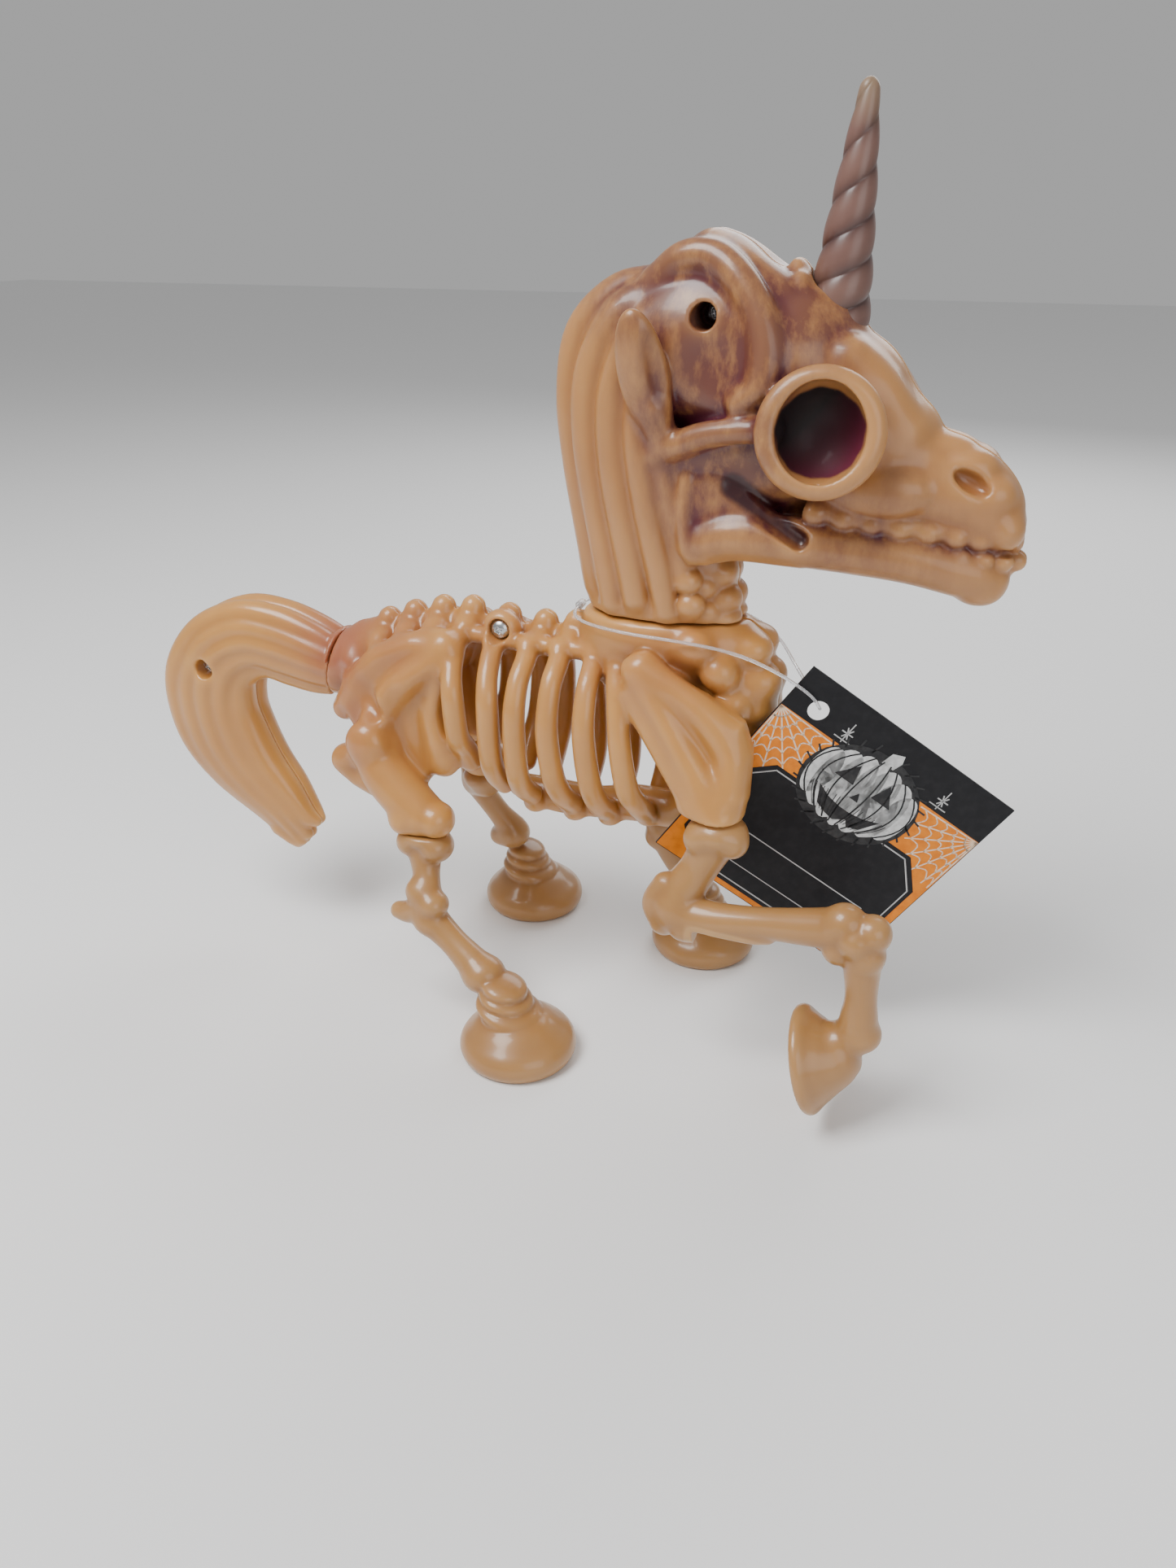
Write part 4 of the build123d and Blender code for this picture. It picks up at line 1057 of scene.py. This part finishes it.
card_points, card_faces = [], []
rim, inner, ring_count = [], [], 64
for i in range(ring_count):
    t = 2 * math.pi * (i + 0.5) / ring_count
    dx, dy = math.cos(t), math.sin(t)
    reach = min(((tag_side - hole_inset) if d > 0 else -hole_inset) / d for d in (dx, dy))
    rim.append((hole_inset + dx * reach, hole_inset + dy * reach))
    inner.append((hole_inset + hole_radius * dx, hole_inset + hole_radius * dy))
for corner in ((0, 0), (tag_side, 0), (0, tag_side), (tag_side, tag_side)):
    nearest = min(range(ring_count), key=lambda i: math.dist(rim[i], corner))
    rim[nearest] = corner
for lift in (0.5 * tag_thickness, -0.5 * tag_thickness):
    card_points += [on_card(u, v, lift) for u, v in rim]
    card_points += [on_card(u, v, lift) for u, v in inner]
for i in range(ring_count):
    k = (i + 1) % ring_count
    hole, back_rim, back_hole = (turn_count * ring_count for turn_count in (1, 2, 3))
    card_faces += [(i, k, hole + k, hole + i), (back_rim + k, back_rim + i, back_hole + i, back_hole + k),
                   (k, i, back_rim + i, back_rim + k), (hole + i, hole + k, back_hole + k, back_hole + i)]
card_mesh = bpy.data.meshes.new("tag_card")
card_mesh.from_pydata(card_points, [], card_faces)
card = placed("tag_card", card_mesh)
if mesh_volume(card_mesh) < 0:
    card_mesh.flip_normals()
print("card, mm:", tag_side, "x", tag_side, "x", tag_thickness)

# %% Print helpers
class Print:
    """Flat ink shapes on the card, gathered by colour."""

    def __init__(self, name, lift):
        self.name, self.lift, self.points, self.faces = name, lift, [], []

    def shape(self, outline):
        """Filled shape; its corners run round a middle from which all of it is seen."""
        start = len(self.points)
        middle = np.mean(outline, axis=0)
        self.points += [on_card(u, v, self.lift) for u, v in outline]
        self.points.append(on_card(middle[0], middle[1], self.lift))
        count = len(outline)
        self.faces += [(start + i, start + (i + 1) % count, start + count) for i in range(count)]

    def line(self, route, width, closed=False):
        """Stroke of even width."""
        spots = [np.array(p, dtype=float) for p in route]
        pairs = list(zip(spots, spots[1:] + ([spots[0]] if closed else [])))
        for a, b in pairs:
            if np.allclose(a, b):
                continue
            along = (b - a) / np.linalg.norm(b - a)
            side = 0.5 * width * np.array([-along[1], along[0]])
            tip = 0.35 * width * along
            start = len(self.points)
            self.points += [on_card(*p, self.lift) for p in (a - tip - side, b + tip - side, b + tip + side,
                                                             a - tip + side)]
            self.faces.append((start, start + 1, start + 2, start + 3))

    def finish(self, material):
        """Mesh object of all the shapes in one ink, facing out of the card."""
        mesh = bpy.data.meshes.new(self.name)
        mesh.from_pydata(self.points, [], self.faces)
        mesh.materials.append(material)
        for face in mesh.polygons:
            if face.normal.dot(tag_out) < 0:
                face.flip()
        print(f"{self.name}: {len(self.faces)} faces")
        return placed(self.name, mesh)


top = 0.5 * tag_thickness

# %% Orange ground and cobwebs
orange_print = Print("orange_ground", top + 0.02)
web_print = Print("cobweb_lines", top + 0.035)
band_top, panel_top = 12.0, 25.5
orange_print.shape([(0.2, band_top), (tag_side - 0.2, band_top), (tag_side - 0.2, tag_side - 0.2),
                    (0.2, tag_side - 0.2)])


def cobweb(corner_u, corner_v, toward_u, size):
    """Spokes and sagging threads that spread down from an upper corner of the ground."""
    spokes = [math.radians(a) for a in (2, 18, 34, 50, 66, 82, 89)]
    for angle in spokes:
        web_print.line([(corner_u, corner_v), (corner_u + toward_u * size * math.cos(angle),
                                               corner_v + size * math.sin(angle))], 0.36)
    for step in range(1, 6):
        radius = size * step / 5.4
        for a, b in zip(spokes, spokes[1:]):
            chain = []
            for t in np.linspace(0, 1, 6):
                angle = a + (b - a) * t
                sag = radius * (1 - 0.12 * math.sin(math.pi * t))
                chain.append((corner_u + toward_u * sag * math.cos(angle),
                              corner_v + sag * math.sin(angle)))
            web_print.line(chain, 0.32)


cobweb(0.4, band_top + 0.3, 1, 17.5)
cobweb(tag_side - 0.4, band_top + 0.3, -1, 17.5)
print("cobweb faces:", len(web_print.faces))

# %% Panel and frame lines
panel_print = Print("black_panel", top + 0.05)
rule_print = Print("pale_rules", top + 0.065)


def eight_sided(inset, chamfer):
    """Corners of the panel, its corners cut off."""
    u0, u1, v0, v1 = 2.4 + inset, tag_side - 2.4 - inset, panel_top + inset, tag_side - 1.6 - inset
    return [(u0 + chamfer, v0), (u1 - chamfer, v0), (u1, v0 + chamfer), (u1, v1 - chamfer),
            (u1 - chamfer, v1),
            (u0 + chamfer, v1), (u0, v1 - chamfer), (u0, v0 + chamfer)]


panel_print.shape(eight_sided(0, 7.5))
rule_print.line(eight_sided(1.3, 7.0), 0.36, closed=True)
rule_print.line([(9, 45.2), (53.5, 45.2)], 0.3)
rule_print.line([(12, 54.6), (50.5, 54.6)], 0.26)
for u in (17.5, 47.5):
    for angle in (0, 60, 120):
        dx, dy = 1.5 * math.cos(math.radians(angle)), 1.5 * math.sin(math.radians(angle))
        rule_print.line([(u - dx, 8.6 - dy), (u + dx, 8.6 + dy)], 0.34)
    rule_print.line([(u, 5.6), (u, 11.2)], 0.3)
    rule_print.line([(u - 2.4, 10.6), (u + 2.4, 10.6)], 0.3)
print("pale line faces:", len(rule_print.faces))

# %% Pumpkin
shade_print = Print("pumpkin_shade", top + 0.075)
pumpkin_print = Print("pumpkin_lobes", top + 0.09)
carved_print = Print("pumpkin_carving", top + 0.11)
pumpkin_u, pumpkin_v = 30.5, 19.5


def oval(u, v, half_u, half_v, count=28, squeeze=0.0):
    """Outline of an oval, a little flatter at the top if squeeze is given."""
    spots = []
    for i in range(count):
        t = 2 * math.pi * i / count
        flat = 1 - squeeze * max(0.0, -math.sin(t)) ** 2
        spots.append((u + half_u * math.cos(t), v + half_v * math.sin(t) * flat))
    return spots


shade_print.shape(oval(pumpkin_u, pumpkin_v + 0.6, 16.2, 13.0))
for i in range(26):
    t = 2 * math.pi * i / 26
    start = (pumpkin_u + 14.6 * math.cos(t), pumpkin_v + 11.4 * math.sin(t))
    end = (pumpkin_u + 17.4 * math.cos(t + 0.1), pumpkin_v + 14.0 * math.sin(t + 0.1))
    shade_print.line([start, end], 0.5)
for shift, half_u in ((-11.4, 3.6), (11.4, 3.6), (-7.6, 4.6), (7.6, 4.6), (-3.6, 4.4), (3.6, 4.4),
                      (0, 3.4)):
    height = 11.2 - 0.028 * shift * shift
    pumpkin_print.shape(oval(pumpkin_u + shift, pumpkin_v, half_u, height, squeeze=0.08))


def carved_rib(shift, bow, reach, span, width):
    """Groove between two lobes, over a span of the pumpkin's height."""
    carved_print.line([(pumpkin_u + shift * (1 - 0.45 * (s * s)) + bow * (1 - s * s), pumpkin_v + reach * s)
                       for s in span], width)


def on_pumpkin(*offsets):
    """Places on the card, from offsets to the pumpkin's middle."""
    return [(pumpkin_u + du, pumpkin_v + dv) for du, dv in offsets]


for shift, bow in ((-13.2, -1.6), (-9.6, -1.6), (-5.6, -1.0), (-1.9, -0.4),
                   (1.9, 0.4), (5.6, 1.0), (9.6, 1.6), (13.2, 1.6)):
    carved_rib(shift, bow, 10.4, np.linspace(-1, 1, 13), 0.42)
for shift in (-12, -10.8, -8.4, -7.2, -4.4, -3.2, 3.2, 4.4, 7.2, 8.4, 10.8, 12):
    carved_rib(shift, 0, 9.6, np.linspace(0.35, 0.95, 5), 0.2)
pumpkin_print.shape(on_pumpkin((-1.6, -10), (-1.0, -13.4), (1.8, -14.6), (2.6, -12.6), (1.9, -10)))
for side in (-1, 1):
    carved_print.shape(on_pumpkin((side * 8.6, -1.0), (side * 2.8, -1.0), (side * 4.6, -6.4)))
carved_print.shape(on_pumpkin((-1.3, 2.2), (1.3, 2.2), (0, -0.2)))
grin = on_pumpkin((-9.4, 3.4), (-5.4, 5.0), (-3.4, 3.9), (-1.6, 5.6), (1.6, 5.6), (3.4, 3.9), (5.4, 5.0),
                  (9.4, 3.4), (6.6, 8.0), (3.6, 9.2), (2.2, 7.6), (-0.4, 9.6), (-3.2, 9.2), (-6.6, 8.0))
for corners in ((0, 1, 13), (1, 12, 13), (1, 3, 12), (3, 11, 12), (3, 4, 11),
                (4, 10, 11), (4, 6, 10), (6, 9, 10), (6, 8, 9), (6, 7, 8)):
    carved_print.shape([grin[i] for i in corners])
print("pumpkin faces:", len(shade_print.faces) + len(pumpkin_print.faces) + len(carved_print.faces))

# %% [markdown]
# ## Finishes
# The bone is a soft, slightly see-through plastic: light enters it, spreads and comes out
# warm, so hollows glow orange rather than going grey. Over that lies a glossy skin. The
# colour follows the relief that was stored on the mesh: paler on ridges as a painted
# highlight, deeper orange in grooves as painted shade, with a red-brown tint at the tail's
# root and a purple-brown wash on the head.

# %% Node helpers
class Recipe:
    """A material's node tree, with short names for the steps that are used often."""

    def __init__(self, name):
        self.material = bpy.data.materials.new(name)
        self.material.use_nodes = True
        self.tree = self.material.node_tree
        self.shader = self.tree.nodes["Principled BSDF"]

    def node(self, kind, **settings):
        step = self.tree.nodes.new(kind)
        for key, value in settings.items():
            setattr(step, key, value)
        return step

    def link(self, source, target):
        self.tree.links.new(source, target)

    def attribute(self, name):
        return self.node("ShaderNodeAttribute", attribute_name=name).outputs["Fac"]

    def noise(self, scale, detail=3.0, roughness=0.55, stretch=None):
        place = self.node("ShaderNodeTexCoord").outputs["Object"]
        if stretch:
            mapping = self.node("ShaderNodeMapping")
            mapping.inputs["Scale"].default_value = stretch
            self.link(place, mapping.inputs["Vector"])
            place = mapping.outputs["Vector"]
        step = self.node("ShaderNodeTexNoise")
        step.inputs["Scale"].default_value = scale
        step.inputs["Detail"].default_value = detail
        step.inputs["Roughness"].default_value = roughness
        self.link(place, step.inputs["Vector"])
        return step.outputs["Fac"]

    def ramp(self, value, low, high, to_low=0.0, to_high=1.0):
        step = self.node("ShaderNodeMapRange")
        for key, number in (("From Min", low), ("From Max", high), ("To Min", to_low), ("To Max", to_high)):
            step.inputs[key].default_value = number
        self.link(value, step.inputs["Value"])
        return step.outputs["Result"]

    def mix(self, amount, first, second):
        step = self.node("ShaderNodeMix", data_type="RGBA")
        self.link(amount, step.inputs[0])
        for value, socket in ((first, step.inputs[6]), (second, step.inputs[7])):
            if isinstance(value, tuple):
                socket.default_value = (*value, 1)
            else:
                self.link(value, socket)
        return step.outputs[2]

    def times(self, a, b):
        step = self.node("ShaderNodeMath", operation="MULTIPLY", use_clamp=True)
        self.link(a, step.inputs[0])
        self.link(b, step.inputs[1])
        return step.outputs[0]

    def bump(self, height, strength, distance):
        step = self.node("ShaderNodeBump")
        step.inputs["Strength"].default_value = strength
        step.inputs["Distance"].default_value = distance
        self.link(height, step.inputs["Height"])
        self.link(step.outputs["Normal"], self.shader.inputs["Normal"])

    def set(self, **values):
        for key, value in values.items():
            self.shader.inputs[key.replace("_", " ")].default_value = value


# %% Bone plastic
root_tint, wash_tint, slot_tint = (0.33, 0.095, 0.052), (0.072, 0.010, 0.022), (0.032, 0.003, 0.005)
# the eye bowl's two ends: near-black painted shade and red painted light
bowl_shade_dark, bowl_light_red = (0.004, 0.0012, 0.003), (0.115, 0.010, 0.030)


def bone_finish(name, pale, body, deep, washed=False):
    """Glossy warm plastic with painted shade in grooves and a painted highlight on ridges, and with the
    painter's purple-brown wash if it is washed.
    """
    r = Recipe(name)
    relief = r.attribute("relief")
    cloud = r.noise(38.0, 3.0)
    # painted shade: deeper orange in the grooves; painted highlight: paler on the ridges
    colour = r.mix(r.ramp(relief, -1.1, 0.25), deep, body)
    colour = r.mix(r.ramp(relief, 0.25, 1.3, 0.0, 0.75), colour, pale)
    colour = r.mix(r.ramp(cloud, 0.35, 0.75, 0.0, 0.30), colour, deep)
    blush = r.times(r.attribute("blush"), r.ramp(cloud, 0.3, 0.6, 0.6, 1.3))
    colour = r.mix(blush, colour, root_tint)
    if washed:
        smear = r.noise(150.0, 5.0, 0.65, (1.0, 1.0, 0.45))
        held = r.ramp(relief, 0.8, -0.35, 0.30, 1.0)
        patch = r.times(r.attribute("wash"), r.ramp(smear, 0.36, 0.60, 0.45, 1.5))
        colour = r.mix(r.times(held, patch), colour, wash_tint)
        slot = r.times(r.attribute("slot"), r.ramp(smear, 0.3, 0.5, 0.85, 1.0))
        colour = r.mix(slot, colour, slot_tint)
        # eye bowl paint, with painted shade at its upper back and red painted light towards its lower front
        bowl = r.mix(r.ramp(r.attribute("bowl_painted_light"), 0.25, 0.95), bowl_shade_dark, bowl_light_red)
        colour = r.mix(r.attribute("bowl"), colour, bowl)
        r.link(r.ramp(r.attribute("bowl"), 0.0, 1.0, 0.26, 0.04), r.shader.inputs["Coat Weight"])
    r.link(colour, r.shader.inputs["Base Color"])
    speck = r.noise(900.0, 2.0)
    rough = r.ramp(r.noise(60.0, 4.0), 0.3, 0.7, 0.30, 0.42)
    if washed:
        rough = r.mix(r.attribute("bowl"), rough, (0.62, 0.62, 0.62))
    r.link(rough, r.shader.inputs["Roughness"])
    r.set(Subsurface_Weight=0.22, Subsurface_Radius=(1.0, 0.42, 0.16), Subsurface_Scale=0.0035,
          Coat_Weight=0.42, Coat_Roughness=0.14, IOR=1.46)
    r.bump(speck, 0.12, 0.00006)
    return r.material


bone_body = bone_finish("bone_plastic", (0.74, 0.44, 0.165), (0.56, 0.27, 0.070), (0.25, 0.074, 0.011))
bone_head = bone_finish("bone_plastic_washed", (0.66, 0.38, 0.155), (0.48, 0.235, 0.080),
                        (0.24, 0.072, 0.018),
                        washed=True)
# painted shade: the legs take a darker copy of the same bone plastic
bone_legs_shaded = bone_finish("bone_plastic_shaded_legs", (0.56, 0.335, 0.135), (0.42, 0.22, 0.075),
                        (0.22, 0.076, 0.016))
print("bone finishes:", bone_body.name, bone_head.name, bone_legs_shaded.name)

# %% Horn paint
r = Recipe("horn_paint")
twist = r.attribute("relief")
# painted shade: the grooves of the twist darker, the ridges lighter
colour = r.mix(r.ramp(twist, 0.25, 0.95), (0.050, 0.018, 0.016), (0.155, 0.078, 0.062))
colour = r.mix(r.ramp(r.attribute("rise"), 0.80, 1.0, 0.0, 0.7), colour, (0.30, 0.215, 0.12))
colour = r.mix(r.ramp(r.noise(70.0, 4.0), 0.4, 0.7, 0.0, 0.35), colour, (0.21, 0.115, 0.085))
r.link(colour, r.shader.inputs["Base Color"])
r.link(r.ramp(r.noise(80.0, 3.0), 0.3, 0.7, 0.34, 0.48), r.shader.inputs["Roughness"])
r.set(Subsurface_Weight=0.08, Subsurface_Radius=(1.0, 0.5, 0.3), Subsurface_Scale=0.002, Coat_Weight=0.2,
      Coat_Roughness=0.2)
r.bump(r.noise(500.0, 2.0), 0.1, 0.00006)
horn_paint = r.material
print("horn paint nodes:", len(r.tree.nodes))

# %% Zinc, nylon and card
r = Recipe("zinc_plate")
r.set(Base_Color=(0.56, 0.57, 0.58, 1), Metallic=1.0)
r.link(r.ramp(r.noise(700.0, 3.0), 0.3, 0.7, 0.16, 0.34), r.shader.inputs["Roughness"])
r.bump(r.noise(1500.0, 2.0), 0.08, 0.00004)
zinc = r.material

r = Recipe("clear_nylon")
r.set(Base_Color=(0.94, 0.95, 0.97, 1), Transmission_Weight=0.75, IOR=1.53)
r.link(r.ramp(r.noise(300.0, 2.0), 0.3, 0.7, 0.06, 0.16), r.shader.inputs["Roughness"])
clear_nylon = r.material


def ink(name, colour, fleck, fleck_share, rough=0.42):
    """Printed ink on satin card, with the faint mottling of the press."""
    recipe = Recipe(name)
    mottling = recipe.ramp(recipe.noise(420.0, 4.0), 0.42, 0.70, 0.0, fleck_share)
    recipe.link(recipe.mix(mottling, colour, fleck), recipe.shader.inputs["Base Color"])
    recipe.link(recipe.ramp(recipe.noise(260.0, 3.0), 0.3, 0.7, rough - 0.06, rough + 0.08),
                recipe.shader.inputs["Roughness"])
    recipe.set(Specular_IOR_Level=0.22)
    return recipe.material


black_ink = ink("black_card", (0.008, 0.008, 0.010), (0.016, 0.016, 0.018), 0.6)
orange_ink = ink("orange_ink", (0.80, 0.235, 0.012), (0.62, 0.15, 0.006), 0.7)
web_ink = ink("pale_web_ink", (0.78, 0.66, 0.52), (0.85, 0.50, 0.22), 0.5)
rule_ink = ink("grey_rule_ink", (0.50, 0.50, 0.50), (0.32, 0.32, 0.32), 0.5)
pumpkin_ink = ink("pumpkin_grey_ink", (0.62, 0.63, 0.63), (0.30, 0.30, 0.30), 0.8)
shadow_ink = ink("pumpkin_shadow_ink", (0.022, 0.022, 0.024), (0.06, 0.06, 0.06), 0.6)
print("materials:", len(bpy.data.materials))

# %% [markdown]
# ## Putting it together
# Each piece gets its finish, the body that it moves with, and the CAD nodes that it takes
# the place of. The two pegs are hidden inside the joints, so their CAD shapes stay and only
# take the plastic.

# %% Assembly
def fit(piece, body, slot_name, finish, *nodes):
    """Finish, body and replaced nodes of one piece; its slot name is not used."""
    piece.data.materials.clear()
    piece.data.materials.append(finish)
    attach(piece, body)
    if nodes:
        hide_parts(*nodes)


fit(trunk_right, "trunk", "bone_plastic", bone_body, "trunk_right_half")
fit(trunk_left, "trunk", "bone_plastic", bone_body, "trunk_left_half")
fit(hind_right, "trunk", "bone_plastic", bone_legs_shaded, "hind_leg_right")
fit(hind_left, "trunk", "bone_plastic", bone_legs_shaded, "hind_leg_left")
fit(fore_right, "trunk", "bone_plastic", bone_legs_shaded, "foreleg_right")
fit(fore_left, "trunk", "bone_plastic", bone_legs_shaded, "foreleg_left")
fit(spine_screw, "trunk", "screw_steel", zinc, "trunk_screw")
fit(head_right, "head", "bone_plastic", bone_head, "head_right_half")
fit(head_left, "head", "bone_plastic", bone_head, "head_left_half")
fit(skull_screw, "head", "screw_steel", zinc, "head_screw")
fit(horn, "head", "horn_plastic", horn_paint, "horn")
fit(tail_right, "tail", "bone_plastic", bone_body, "tail_right_half")
fit(tail_left, "tail", "bone_plastic", bone_body, "tail_left_half")
fit(lock_screw, "tail", "screw_steel", zinc, "tail_screw")
fit(card, "trunk", "tag_card", black_ink, "hang_tag")
fit(nylon, "trunk", "loop_nylon", clear_nylon, "tag_loop")
fit(loop_bead, "trunk", "loop_nylon", clear_nylon, "loop_lock")
for peg in ("neck_peg", "tail_peg"):
    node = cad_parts[peg]
    if not node.data.materials:
        node.data.materials.append(bone_body)
    for place in node.material_slots:
        place.material = bone_body
for sheet_print, colour in ((orange_print, orange_ink), (web_print, web_ink), (panel_print, black_ink),
                            (rule_print, rule_ink), (shade_print, shadow_ink), (pumpkin_print, pumpkin_ink),
                            (carved_print, shadow_ink)):
    sheet = sheet_print.finish(colour)
    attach(sheet, "trunk")
